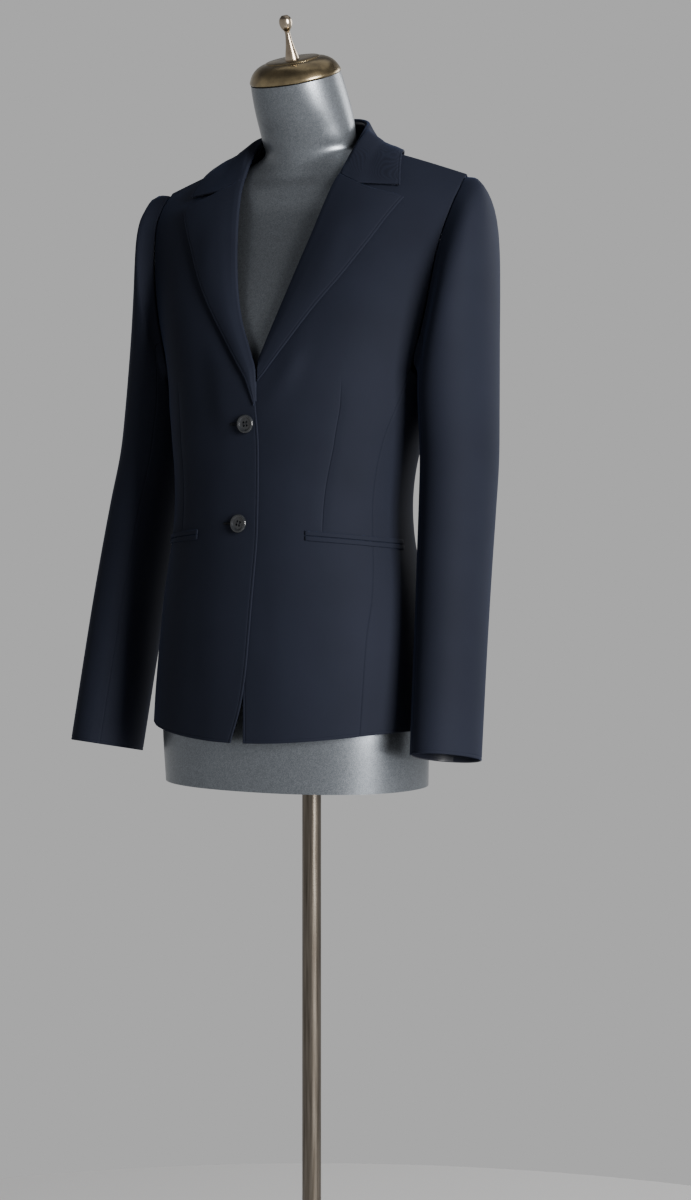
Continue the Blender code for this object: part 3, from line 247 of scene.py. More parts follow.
def angle_at_x(z, x):
    """The section angle near the front middle where the surface reaches x."""
    half_width = column(BODY, "half_width", z)
    sine = (abs(x) / half_width) ** (FRONT_SQUARENESS / 2.0)
    return math.copysign(math.degrees(math.asin(sine)), x)


def hem_z(angle):
    return FRONT_HEM_Z + SIDE_HEM_RISE * smoothstep(abs(angle) / HEM_RISE_ANGLE)


def front_seam(z):
    return column(SEAMS, "front_seam", z)


def back_seam(z):
    return column(SEAMS, "back_seam", z)


def armhole_point(angle):
    """The armhole's edge on the wearer's left, by sleeve angle: 0 is the shoulder tip."""
    angle = angle % 360.0
    low_front = body_point(SEAM_TOP_Z, front_seam(SEAM_TOP_Z))
    low_back = body_point(SEAM_TOP_Z, back_seam(SEAM_TOP_Z))
    if ARM_LOW_FRONT_ANGLE <= angle <= ARM_LOW_BACK_ANGLE:
        share = (angle - ARM_LOW_FRONT_ANGLE) / (ARM_LOW_BACK_ANGLE - ARM_LOW_FRONT_ANGLE)
        return armhole_bottom(share)
    if angle < ARM_LOW_FRONT_ANGLE:
        knots = [row.angle for row in ARM_FRONT] + [ARM_LOW_FRONT_ANGLE]
        places = [Vector((row.x, row.y, row.z)) for row in ARM_FRONT] + [low_front]
    else:
        knots = [ARM_LOW_BACK_ANGLE] + [row.angle for row in reversed(ARM_BACK)]
        places = [low_back] + [Vector((row.x, row.y, row.z)) for row in reversed(ARM_BACK)]
    return spline(knots, places, angle)


def armhole_bottom(share):
    """The side panel's top edge, from the front seam to the back seam."""
    z = SEAM_TOP_Z - ARMPIT_DIP * math.sin(math.pi * share)
    return body_point(z, mix(front_seam(SEAM_TOP_Z), back_seam(SEAM_TOP_Z), share))


def low_rows(first_angle, last_angle, cols, top=None):
    """Grid rows from the hem up to the side seams' tops, between two seam functions."""
    grid = []
    for i in range(ROWS_LOW + 1):
        rise = i / ROWS_LOW
        line = []
        for j in range(cols + 1):
            share = j / cols
            ceiling = top(share) if top else SEAM_TOP_Z
            guess = mix(FRONT_HEM_Z, ceiling, rise)
            low = hem_z(mix(first_angle(guess), last_angle(guess), share))
            z = mix(low, ceiling, rise)
            line.append(body_point(z, mix(first_angle(z), last_angle(z), share)))
        grid.append(line)
    return grid


def coons(bottom, top, left, right, rows):
    """Grid rows over four border curves; bottom and top are lists, the others functions."""
    cols = len(bottom) - 1
    grid = []
    for i in range(1, rows + 1):
        v = i / rows
        line = []
        for j in range(cols + 1):
            u = j / cols
            corners = mix(mix(bottom[0], bottom[-1], u), mix(top[0], top[-1], u), v)
            point = mix(bottom[j], top[j], v) + mix(left(v), right(v), u) - corners
            line.append(point)
        grid.append(line)
    return grid


def relaxed(grid, first, last, rounds, first_col=1, centre_last=False):
    """Evens out the inner points of some rows, so that the joined patches meet smoothly.

    With centre_last the last column lies on the centre line and is evened out with the
    mirrored half.
    """
    for _ in range(rounds):
        for i in range(first, last + 1):
            if centre_last:
                line = grid[i]
                line[-1].y = mix(line[-1].y, line[-2].y, 0.35)
            for j in range(first_col, len(grid[0]) - 1):
                around = grid[i - 1][j] + grid[i + 1][j] + grid[i][j - 1] + grid[i][j + 1]
                grid[i][j] = mix(grid[i][j], around * 0.25, 0.5)
    return grid


def along(points, share):
    """A smooth curve through points, read by its share of the polygon's length."""
    lengths = [0.0]
    for a, b in zip(points, points[1:]):
        lengths.append(lengths[-1] + (b - a).length)
    return spline(lengths, points, share * lengths[-1])


def edge_x(z, side):
    """The front's free edge below the lapel, as x on a wearer's left front."""
    name = "left_x" if side > 0 else "right_x"
    return column(FRONT_EDGES, name, z) * side


def roll_points(side):
    start = body_point(SEAM_TOP_Z, angle_at_x(SEAM_TOP_Z, edge_x(SEAM_TOP_Z, side)))
    return [start] + ROLL_LINE


def shoulder_curve(share):
    """The shoulder seam from the neck point to the shoulder tip, a little full."""
    rise = SHOULDER_RISE * math.sin(math.pi * share)
    return mix(NECK_POINT, SHOULDER_TIP, share) + Vector((0.0, 0.0, rise))


def neckline_curve(share):
    """The back neckline from the neck point to the nape."""
    turn = 0.5 * math.pi * share
    x = NECK_POINT.x * math.cos(turn)
    y = mix(NECK_POINT.y, NAPE.y, math.sin(turn))
    z = mix(NECK_POINT.z, NAPE.z, smoothstep(share))
    return Vector((x, y, z))


def front_grid(side):
    """The front from its free edge to the side seam and armhole, as a wearer's left front."""
    def first(z):
        return angle_at_x(z, edge_x(z, side))

    grid = low_rows(first, front_seam, COLS_FRONT)
    bottom = grid[-1]
    top = [shoulder_curve(j / COLS_FRONT) for j in range(COLS_FRONT + 1)]
    arm = [armhole_point(ARM_LOW_FRONT_ANGLE * (1.0 - k / 24)) for k in range(25)]
    roll = roll_points(side)
    grid += coons(bottom, top, lambda v: along(roll, v), lambda v: along(arm, v), ROWS_HIGH)
    grid = relaxed(grid, ROWS_LOW - 1, ROWS_LOW + 5, 6, 3)
    return layered(grid, side)


def layered(grid, side):
    """Moves the closure's overlap out on the right front, which lies on top, and in on the left."""
    normals = grid_normals(grid)
    for i, line in enumerate(grid):
        rise = smoothstep((line[0].z - BREAK_Z - LAYER_Z[0]) / LAYER_Z[1])
        for j, point in enumerate(line):
            near = 1.0 - smoothstep((abs(point.x) - LAYER_X[0]) / LAYER_X[1])
            shift = -side * LAYER_SHIFT * near * (1.0 - rise)
            line[j] = point + normals[i][j] * shift
    return grid


def side_grid():
    def top(share):
        return armhole_bottom(share).z

    return low_rows(front_seam, back_seam, COLS_SIDE, top)


CENTRE_BACK = [
    Vector((0.0, 0.105, 1.200)),
    Vector((0.0, 0.099, 1.290)),
    Vector((0.0, 0.083, 1.344)),
    NAPE,
]
SHOULDER_COLS = 5         # the back's grid columns on the shoulder seam


def back_grid():
    """The back from the side seam and armhole to the centre seam, wearer's left."""
    grid = low_rows(back_seam, lambda z: 180.0, COLS_BACK)
    bottom = grid[-1]
    top = []
    for j in range(COLS_BACK + 1):
        if j <= SHOULDER_COLS:
            top.append(shoulder_curve(1.0 - j / SHOULDER_COLS))
        else:
            top.append(neckline_curve((j - SHOULDER_COLS) / (COLS_BACK - SHOULDER_COLS)))
    span = 360.0 - ARM_LOW_BACK_ANGLE
    arm = [armhole_point(min(ARM_LOW_BACK_ANGLE + span * k / 24, 359.999)) for k in range(25)]
    centre = [bottom[-1]] + CENTRE_BACK
    grid += coons(bottom, top, lambda v: along(arm, v), lambda v: along(centre, v), ROWS_HIGH)
    return relaxed(grid, ROWS_LOW - 2, ROWS_LOW + ROWS_HIGH - 2, 8, 1, True)


def oriented(grid, side):
    """The grid on its own side of the body, with its normals still pointing out."""
    if side > 0:
        return grid
    return [[mirrored(point, -1) for point in reversed(line)] for line in grid]


# ---------------------------------------------------------------- sleeves
# Rings down each sleeve as it hangs, on a wearer's left: the centre and the two diameters.
SleeveRow = namedtuple("SleeveRow", "z x y width depth")
SLEEVES = {
    1: [
        SleeveRow(1.085, 0.1870, -0.0190, 0.0740, 0.106),
        SleeveRow(1.040, 0.1868, -0.0170, 0.0730, 0.101),
        SleeveRow(0.930, 0.1865, -0.0270, 0.0700, 0.094),
        SleeveRow(0.850, 0.1910, -0.0430, 0.0680, 0.090),
        SleeveRow(0.738, 0.1975, -0.0650, 0.0660, 0.088),
    ],
    -1: [
        SleeveRow(1.085, 0.1835, -0.0060, 0.0740, 0.107),
        SleeveRow(1.040, 0.1895, -0.0080, 0.0730, 0.102),
        SleeveRow(0.970, 0.1995, -0.0200, 0.0715, 0.097),
        SleeveRow(0.875, 0.2073, -0.0400, 0.0700, 0.093),
        SleeveRow(0.730, 0.2178, -0.0650, 0.0690, 0.092),
    ],
}
SLEEVE_ROWS = 7           # grid rows from the cuff to the upper arm
CAP_ROWS = 7              # grid rows from the upper arm to the armhole
FRONT_SLEEVE_SEAM = 122.0
BACK_SLEEVE_SEAM = 246.0
TOP_SLEEVE_COLS = 14
UNDER_SLEEVE_COLS = 7
ARM_GAP = (0.0006, 0.0007)    # armhole's edge to sleeve's edge: at the top, added low down
Cap = namedtuple("Cap", "turn rise drop")
CAPS = {          # by side; turn and rise are each the length low down, and what is added on top
    1: Cap((0.010, 0.0205), (0.010, 0.192), -0.02),      # turn: how far it runs out of the armhole
    -1: Cap((0.008, 0.031), (0.010, 0.237), -0.08),     # rise: how far the tube runs straight up
}


def sleeve_centre(side, z):
    rows = list(reversed(SLEEVES[side]))
    return Vector((column(rows, "x", z), column(rows, "y", z), z))


def sleeve_ring_point(side, z, angle):
    """A point on the sleeve's ring across its own middle line; angle 0 is the outer side."""
    rows = list(reversed(SLEEVES[side]))
    step = 0.004
    centre = sleeve_centre(side, z)
    low = max(z - step, rows[0].z)
    high = min(z + step, rows[-1].z)
    up = (sleeve_centre(side, high) - sleeve_centre(side, low)).normalized()
    out = Vector((1.0, 0.0, 0.0))
    out = (out - up * out.dot(up)).normalized()
    back = up.cross(out)
    turn = math.radians(angle)
    half_width = 0.5 * column(rows, "width", z)
    half_depth = 0.5 * column(rows, "depth", z)
    return centre + out * (half_width * math.cos(turn)) - back * (half_depth * math.sin(turn))


def out_of_armhole(side, angle):
    """The direction in which the sleeve's cloth leaves the armhole."""
    cosine = math.cos(math.radians(angle))
    drop = CAPS[side].drop * max(cosine, 0.0) + 0.75 * max(-cosine, 0.0)
    return Vector((0.85, -0.45 * math.sin(math.radians(angle)), -drop)).normalized()


def cap_point(side, angle, share):
    """The cap's surface from the upper arm's ring, share 0, to the armhole, share 1."""
    rows = SLEEVES[side]
    height = 0.5 + 0.5 * math.cos(math.radians(angle))
    low = sleeve_ring_point(side, rows[0].z, angle)
    below = sleeve_ring_point(side, rows[0].z - 0.012, angle)
    cap = CAPS[side]
    rise = (low - below).normalized() * (cap.rise[0] + cap.rise[1] * height)
    edge = armhole_point(angle)
    away = out_of_armhole(side, angle)
    gap = ARM_GAP[0] + ARM_GAP[1] * (1.0 - height)
    high = edge + away * gap
    turn = edge + away * (gap + cap.turn[0] + cap.turn[1] * height)
    rest = 1.0 - share
    return (low * rest ** 3 + (low + rise) * (3.0 * rest * rest * share)
            + turn * (3.0 * rest * share * share) + high * share ** 3)


def sleeve_grid(side, first_angle, last_angle, cols):
    rows = SLEEVES[side]
    grid = []
    angles = [mix(first_angle, last_angle, j / cols) for j in range(cols + 1)]
    for i in range(SLEEVE_ROWS):
        z = mix(rows[-1].z, rows[0].z, i / SLEEVE_ROWS)
        grid.append([sleeve_ring_point(side, z, angle) for angle in angles])
    for i in range(CAP_ROWS + 1):
        grid.append([cap_point(side, angle, i / CAP_ROWS) for angle in angles])
    return grid


# ---------------------------------------------------------------- lapels
# The lapels' free edges, from the break up to the point, on a wearer's left.
LapelRow = namedtuple("LapelRow", "z left_x right_x")
LAPEL_EDGE = [
    LapelRow(1.0890, 0.0040, -0.0128),
    LapelRow(1.1130, 0.0150, -0.0020),
    LapelRow(1.1220, 0.0225, 0.0040),
    LapelRow(1.1470, 0.0395, 0.0260),
    LapelRow(1.1880, 0.0660, 0.0600),
    LapelRow(1.2220, 0.0905, 0.0840),
    LapelRow(1.2600, 0.1140, 0.1070),
    LapelRow(1.2990, 0.1360, 0.1300),
]
LAPEL_LOW_Z = {1: 1.113, -1: 1.089}       # where each free edge begins
GORGE_TOP_Z = 1.327       # where the gorge seam meets the roll line
LAPEL_START_Z = {1: 1.133, -1: 1.093}     # lowest point of the roll on each side
FOLD_RADIUS = LAPEL_CLOTH + LAYER_GAP     # outer radius of the folded edge
FOLD_ANGLES = (-60.0, -20.0, 30.0, 85.0)  # grid columns round the fold
LAPEL_BELLY = 0.0025      # extra height of the lapel's middle over the chest
BREAK_LIFT = {1: 0.0007, -1: 0.0003}      # extra height of the lapels next to the break
EDGE_LIFT = 0.0007        # and of their free edges farther up
END_RADIUS = 0.0013       # the fold's radius where the right lapel runs out at the break
END_CLOTH = 0.0009        # and its wall there
END_SHARE = 0.11          # of the lapel's height, over which it grows to the full wall
FROM_FRONT = Vector((0.0, -1.0, 0.0))


def tree_of(grids):
    """A search tree over several grids' outer surfaces."""
    verts = []
    faces = []
    for grid in grids:
        base = len(verts)
        cols = len(grid[0])
        for line in grid:
            verts.extend(line)
        for i in range(len(grid) - 1):
            for j in range(cols - 1):
                a = base + i * cols + j
                faces.append((a, a + 1, a + cols + 1, a + cols))
    return BVHTree.FromPolygons(verts, faces)


def on_chest(tree, x, z):
    """The outer surface straight behind x, z seen from the front, and its normal."""
    place, normal, _, _ = tree.ray_cast(Vector((x, FROM_FRONT.y, z)), -FROM_FRONT)
    if place is None:
        nearest, normal, _, _ = tree.find_nearest(Vector((x, BODY[0].front_y, z)))
        place = Vector((x, nearest.y, z))
    if normal.y > 0.0:
        normal = -normal
    return place, normal


def roll_at(points, z):
    """The point at a height on the front's edge, which is straight between grid rows."""
    for low, high in zip(points, points[1:]):
        if low.z <= z <= high.z:
            return mix(low, high, (z - low.z) / (high.z - low.z))
    return points[-1]


def lapel_size(side, v, end_size, full_size):
    """The right lapel runs out at the break, so that it grows from a smaller size there."""
    if side > 0:
        return full_size
    return mix(end_size, full_size, smoothstep(v / END_SHARE))


def gorge_bend(u):
    """How far the lapel's top edge dips under the straight line from fold to point."""
    return -0.0035 * math.sin(math.pi * min(u * 1.1, 1.0))


# ---------------------------------------------------------------- collar
# The collar's fold and its free edge, from the centre back to the front end, wearer's left.
COLLAR_FOLD = [
    Vector((0.0000, 0.0590, 1.3965)),
    Vector((0.0270, 0.0530, 1.3945)),
    Vector((0.0480, 0.0350, 1.3880)),
    Vector((0.0612, 0.0080, 1.3770)),
    Vector((0.0640, -0.0160, 1.3570)),
]
COLLAR_EDGE = [
    Vector((0.0000, 0.0960, 1.3520)),
    Vector((0.0440, 0.0880, 1.3520)),
    Vector((0.0840, 0.0560, 1.3480)),
    Vector((0.1040, 0.0130, 1.3505)),
    Vector((0.1185, -0.0150, 1.3385)),
    Vector((0.1290, -0.0370, 1.3140)),
]
COLLAR_BELLY = 0.0015     # how far the fall swells between fold and edge
EASING_ROUNDS = 6
SHOULDER_CLEARANCE = 0.0008   # more room under the fall, where it bridges the shoulder seam
HUG_SHARES = (0.50, 0.72)     # up to the first the edge lies on the back, from the second not
FRONT_END_SHARE = 0.72    # from here on the collar eases into the gorge seam
STAND_END_SHARE = 0.80    # where the stand runs out towards the front


def collar_edge(share, tree, height):
    """The collar's free edge, which lies close to the back."""
    point = along(COLLAR_EDGE, share)
    place, normal, _, _ = tree.find_nearest(point)
    free = smoothstep((share - HUG_SHARES[0]) / (HUG_SHARES[1] - HUG_SHARES[0]))
    return mix(place + normal * height, point, free)


def missing_height(point, tree, need, way):
    """How far the point has to go along way until it is clear of the surface below it."""
    place, normal, _, _ = tree.find_nearest(point)
    height = (point - place).dot(normal)
    if height < need and (point - place).length < 0.03:
        return (need - height) / max(way.dot(normal), 0.5)
    return 0.0


def eased_line(values):
    """Values no smaller than before and without steps: the largest nearby, then averaged."""
    last = len(values) - 1
    top = [max(values[max(k - 1, 0):k + 2]) for k in range(last + 1)]
    return [(top[max(k - 1, 0)] + top[k] + top[min(k + 1, last)]) / 3.0 for k in range(last + 1)]


def cleared(columns, needs, ways, tree):
    """The columns moved out until they are clear of the surface below, without steps."""
    lifts = [[missing_height(point, tree, need, way) for point, need in zip(line, line_needs)]
             for line, line_needs, way in zip(columns, needs, ways)]
    for _ in range(EASING_ROUNDS):
        lifts = [eased_line(line) for line in lifts]
        lifts = list(zip(*[eased_line(line) for line in zip(*lifts)]))
    return [[point + way * lift if need > 0.0 else point
             for point, need, lift in zip(line, line_needs, line_lifts)]
            for line, line_needs, line_lifts, way in zip(columns, needs, lifts, ways)]


# ---------------------------------------------------------------- pockets
POCKET_ANGLES = {1: (31.0, 88.5), -1: (23.5, 81.0)}   # each pocket's way round the body
POCKET_FRONT_Z = 0.9635           # its upper line at the front end
POCKET_DROP = 0.0100              # and how far that drops to the back end
WELT_HEIGHT = 0.0047
WELT_THICK = 0.0011
WELT_LIFT = 0.0006                # over the panel's true surface


# ---------------------------------------------------------------- the dress form
FormRow = namedtuple("FormRow", "z half_width front_y back_y tilt squareness")
FORM_ROWS = [
    FormRow(0.7000, 0.1430, -0.137, 0.076, 0.0, 2.2),
    FormRow(0.7600, 0.1460, -0.138, 0.071, 0.0, 2.2),
    FormRow(0.8200, 0.1430, -0.136, 0.063, 0.0, 2.2),
    FormRow(0.8800, 0.1360, -0.133, 0.051, 0.0, 2.2),
    FormRow(0.9400, 0.1260, -0.127, 0.044, 0.0, 2.2),
    FormRow(1.0000, 0.1220, -0.121, 0.044, 0.0, 2.2),
    FormRow(1.0600, 0.1290, -0.116, 0.053, 0.0, 2.2),
    FormRow(1.1120, 0.1400, -0.112, 0.074, 0.0, 2.2),
    FormRow(1.1600, 0.1450, -0.101, 0.086, 0.0, 2.2),
    FormRow(1.2100, 0.1500, -0.084, 0.088, 0.0, 2.2),
    FormRow(1.2550, 0.1560, -0.065, 0.080, 0.0, 2.2),
    FormRow(1.2900, 0.1600, -0.051, 0.066, 0.0, 2.1),
    FormRow(1.3080, 0.1620, -0.047, 0.058, 0.0, 1.9),
    FormRow(1.3180, 0.1650, -0.045, 0.054, 0.0, 1.7),
    FormRow(1.3280, 0.1510, -0.044, 0.044, 0.0, 1.55),
    FormRow(1.3380, 0.1150, -0.044, 0.036, 0.0, 1.4),
    FormRow(1.3470, 0.0800, -0.0440, 0.036, 0.0, 1.6),
    FormRow(1.3560, 0.0550, -0.0448, 0.038, 0.01, 1.8),
    FormRow(1.3650, 0.0525, -0.0465, 0.038, 0.04, 1.9),
    FormRow(1.3760, 0.0522, -0.0505, 0.038, 0.10, 1.9),
    FormRow(1.3900, 0.0515, -0.057, 0.036, 0.20, 2.0),
    FormRow(1.4080, 0.0500, -0.068, 0.027, 0.30, 2.0),
    FormRow(1.4320, 0.0475, -0.076, 0.013, 0.35, 2.0),
]
FORM_SIDES = 32
FORM_CLEARANCE = 0.0052   # level distance from the form out to the cloth's outer surface
SEAT_DEPTH = 0.0032       # nearest that the form comes to the cloth's outer surface
THROUGH_REACH = 0.030     # a point farther out than this is in the neck's opening
NECK_LEAN = math.atan(FORM_ROWS[-1].tilt)
CAP_RADII = (0.0485, 0.0455)
CAP_HEIGHT = 0.0195       # over its rim
FINIAL_PROFILE = [        # radius, height over the cap's top
    (0.0074, 0.0000), (0.0062, 0.0060), (0.0046, 0.0130), (0.0034, 0.0200),
    (0.0027, 0.0265), (0.0031, 0.0295), (0.0052, 0.0325), (0.0066, 0.0362),
    (0.0068, 0.0392), (0.0058, 0.0430), (0.0032, 0.0458),
]
POLE_RADIUS = 0.0100
BASE_RADIUS = 0.150


def form_ring(row, tree):
    """One ring of the form, drawn in wherever it would come too near the jacket."""
    middle = 0.5 * (row.front_y + row.back_y)
    power = 2.0 / row.squareness
    heart = Vector((0.0, middle, row.z))
    reaches = []
    shares = []
    for k in range(FORM_SIDES):
        turn = 2.0 * math.pi * k / FORM_SIDES
        x = row.half_width * math.copysign(abs(math.cos(turn)) ** power, math.cos(turn))
        y = math.copysign(abs(math.sin(turn)) ** power, math.sin(turn))
        y *= (row.back_y - row.front_y) * 0.5
        reaches.append(Vector((x, y, row.tilt * y)))
        shares.append(min(clear_share(tree, heart, mirrored(reaches[-1], side))
                          for side in (1, -1)))
    for _ in range(2):
        shares = evened(shares)
    return [heart + reach * share for reach, share in zip(reaches, shares)]


def evened(shares):
    """Shares round a ring, no larger than before and without steps."""
    low = [min(shares[k - 1], share, shares[(k + 1) % FORM_SIDES])
           for k, share in enumerate(shares)]
    return [(low[k - 1] + share + low[(k + 1) % FORM_SIDES]) / 3.0 for k, share in enumerate(low)]


def clear_share(tree, heart, reach):
    """How much of the reach from the form's heart stays clear inside the jacket."""
    share = 1.0
    hit = tree.ray_cast(heart, reach.normalized())[0]
    if hit is not None:
        share = min(share, ((hit - heart).length - FORM_CLEARANCE) / reach.length)
    while too_near(tree, heart + reach * share):
        share *= 0.98
    return share


def too_near(tree, point):
    """Whether a point of the form comes too near the jacket, or out through it."""
    place, normal, _, distance = tree.find_nearest(point)
    below_neck = point.z < NECK_POINT.z and distance < THROUGH_REACH
    return distance < SEAT_DEPTH or (below_neck and (point - place).dot(normal) > 0.0)


# ---------------------------------------------------------------- fine grids
# Distances of the extra grid lines next to a border, in metres.
FREE = (0.0, 0.00014, 0.00042, 0.0009, 0.0018, 0.0024, 0.0028, 0.0032, 0.0040, 0.0060)
SEAM = (0.00006, 0.0003, 0.0008, 0.0016, 0.0030)
DART = (-0.0030, -0.0015, -0.0007, -0.0003, 0.0, 0.0003, 0.0007, 0.0015, 0.0030)
SPACING = 0.0042          # between grid lines elsewhere
STITCH_LINE = 0.0028      # from a free edge
STITCH_DEPTH = 0.00036
STITCH_WIDTH = 0.00034
SEAM_DEPTH = 0.00055
SEAM_WIDTH = 0.0012
SQUEEZE = 0.42            # most of a short row that the lines next to one border may take


def array_of(grid):
    return np.array([[tuple(point) for point in line] for line in grid])


def lengths_along(points, axis):
    """Distances from the first border, along the grid's rows (axis 0) or columns (axis 1)."""
    steps = np.linalg.norm(np.diff(points, axis=axis), axis=2)
    start = np.zeros_like(np.take(steps, [0], axis=axis))
    return np.cumsum(np.concatenate([start, steps], axis=axis), axis=axis)


def places(length, count, low, high, line_at=None):
    """Rising places from 0 to length: fine next to both borders and to a line, else even."""
    low = np.array(low)
    high = np.array(high)
    low = low * min(1.0, SQUEEZE * length / max(low[-1], 1e-9))
    high = high * min(1.0, SQUEEZE * length / max(high[-1], 1e-9))
    start = low[-1]
    end = length - high[-1]
    if line_at is None:
        middle = np.linspace(start, end, count + 2)[1:-1]
    else:
        before = count // 2
        fine = line_at + np.array(DART)
        left = np.linspace(start, fine[0], before + 2)[1:-1]
        right = np.linspace(fine[-1], end, count - before + 2)[1:-1]
        middle = np.concatenate([left, fine, right])
    return np.concatenate([low, middle, length - high[::-1]])


def slopes_of(points, knots):
    """Slopes at the knots along axis 0; knots has one column per curve."""
    slopes = np.empty_like(points)
    span = (knots[2:] - knots[:-2])[..., None]
    slopes[1:-1] = (points[2:] - points[:-2]) / span
    slopes[0] = (points[1] - points[0]) / (knots[1] - knots[0])[..., None]
    slopes[-1] = (points[-1] - points[-2]) / (knots[-1] - knots[-2])[..., None]
    return slopes


def read_curves(points, knots, at, kink=None):
    """Reads the curves that run along axis 0 at places at; all but points are 2-D.

    kink is (row, weights): there a curve of weight 1 has a corner, as its own two sides give.
    """
    after = slopes_of(points, knots)
    before = after.copy()
    if kink:
        row, weights = kink
        weights = weights[:, None]
        low = (points[row] - points[row - 1]) / (knots[row] - knots[row - 1])[:, None]
        high = (points[row + 1] - points[row]) / (knots[row + 1] - knots[row])[:, None]
        before[row] = mix(before[row], low, weights)
        after[row] = mix(after[row], high, weights)
    count = len(knots)
    result = np.empty((at.shape[0], at.shape[1], 3))
    for j in range(points.shape[1]):
        k = np.clip(np.searchsorted(knots[:, j], at[:, j], side="right") - 1, 0, count - 2)
        width = knots[k + 1, j] - knots[k, j]
        t = ((at[:, j] - knots[k, j]) / width)[:, None]
        width = width[:, None]
        result[:, j] = hermite(points[k, j], points[k + 1, j], after[k, j] * width,
                               before[k + 1, j] * width, t)
    return result


def fine_grid(grid, low, high, left, right, kink=None, line=None, spacing=SPACING):
    """A coarse grid read finely; low, high, left and right are the borders' extra lines.

    line gives the share of the width at which a fine line runs, for every height.
    """
    points = array_of(grid)
    knots = lengths_along(points, 0).mean(axis=1)
    rows = places(knots[-1], int(knots[-1] / spacing), low, high)
    cols = points.shape[1]
    tall = read_curves(points, np.repeat(knots[:, None], cols, 1),
                       np.repeat(rows[:, None], cols, 1), kink)
    wide = tall.transpose(1, 0, 2)
    knots = lengths_along(wide, 0)
    count = int(knots[-1].mean() / spacing)
    at = np.stack([
        places(knots[-1, i], count, left, right,
               line(tall[i], knots[:, i]) if line else None)
        for i in range(len(rows))], axis=1)
    return read_curves(wide, knots, at).transpose(1, 0, 2)


def normals_of(points):
    """Unit normals of a fine grid, (rows, columns, 3)."""
    along = np.gradient(points, axis=1)
    up = np.gradient(points, axis=0)
    normals = np.cross(along, up)
    return normals / np.maximum(np.linalg.norm(normals, axis=2, keepdims=True), 1e-12)


def border_distances(points):
    """Distances of every point from the left, right, low and high borders."""
    across = lengths_along(points, 1)
    up = lengths_along(points, 0)
    return across, across[:, -1:] - across, up, up[-1:] - up


def seam_drop(distance):
    """How far the cloth sinks into a pressed seam."""
    t = np.clip(distance / SEAM_WIDTH, 0.0, 1.0)
    return SEAM_DEPTH * (1.0 - t * t * (3.0 - 2.0 * t))


def stitch_drop(distance):
    """The shallow line that edge stitching presses in."""
    return STITCH_DEPTH * np.exp(-((distance - STITCH_LINE) / STITCH_WIDTH) ** 2)


def nose_drop(distance, radius):
    """The rounding of a turned edge."""
    inside = np.clip(radius - distance, 0.0, radius)
    return radius - np.sqrt(np.maximum(radius * radius - inside * inside, 0.0))


# ---------------------------------------------------------------- pieces of cloth
LIVERY = {}               # finishes by name, filled in by make_finishes

Cut = namedtuple("Cut", "width length area held rests_on")
FORM = "form_torso_cover"


def made_piece(name, mesh, node):
    """The mesh as an object that stands for a CAD node and rides with the rest."""
    piece = bpy.data.objects.new(name, mesh)
    bpy.context.scene.collection.objects.link(piece)
    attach(piece, "root")
    if node:
        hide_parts(node)
    return piece


def mesh_of(name, verts, faces, finishes, second=(), uvs=None, sharp_angle=None):
    """A closed mesh; the faces listed in second take the second finish."""
    mesh = bpy.data.meshes.new(name)
    mesh.from_pydata(verts, [], faces)
    for finish in finishes:
        mesh.materials.append(finish)
    for face in second:
        mesh.polygons[face].material_index = 1
    if uvs is not None:
        layer = mesh.uv_layers.new(name="cloth")
        corners = np.array([uvs[loop.vertex_index] for loop in mesh.loops])
        layer.data.foreach_set("uv", corners.ravel())
    shape = bmesh.new()
    shape.from_mesh(mesh)
    bmesh.ops.remove_doubles(shape, verts=shape.verts, dist=2e-6)
    bmesh.ops.dissolve_degenerate(shape, edges=shape.edges, dist=1e-7)
    bmesh.ops.recalc_face_normals(shape, faces=shape.faces)
    shape.to_mesh(mesh)
    shape.free()
    mesh.shade_smooth()
    if sharp_angle:
        mesh.set_sharp_from_angle(angle=math.radians(sharp_angle))
    return mesh


def grid_faces(rows, cols, base=0):
    return [(base + a, base + a + 1, base + a + cols + 1, base + a + cols)
            for i in range(rows - 1) for a in range(i * cols, i * cols + cols - 1)]


def rim_of(rows, cols):
    rim = list(range(cols))
    rim += [i * cols + cols - 1 for i in range(1, rows)]
    rim += [(rows - 1) * cols + j for j in range(cols - 2, -1, -1)]
    rim += [i * cols for i in range(rows - 2, 0, -1)]
    return rim


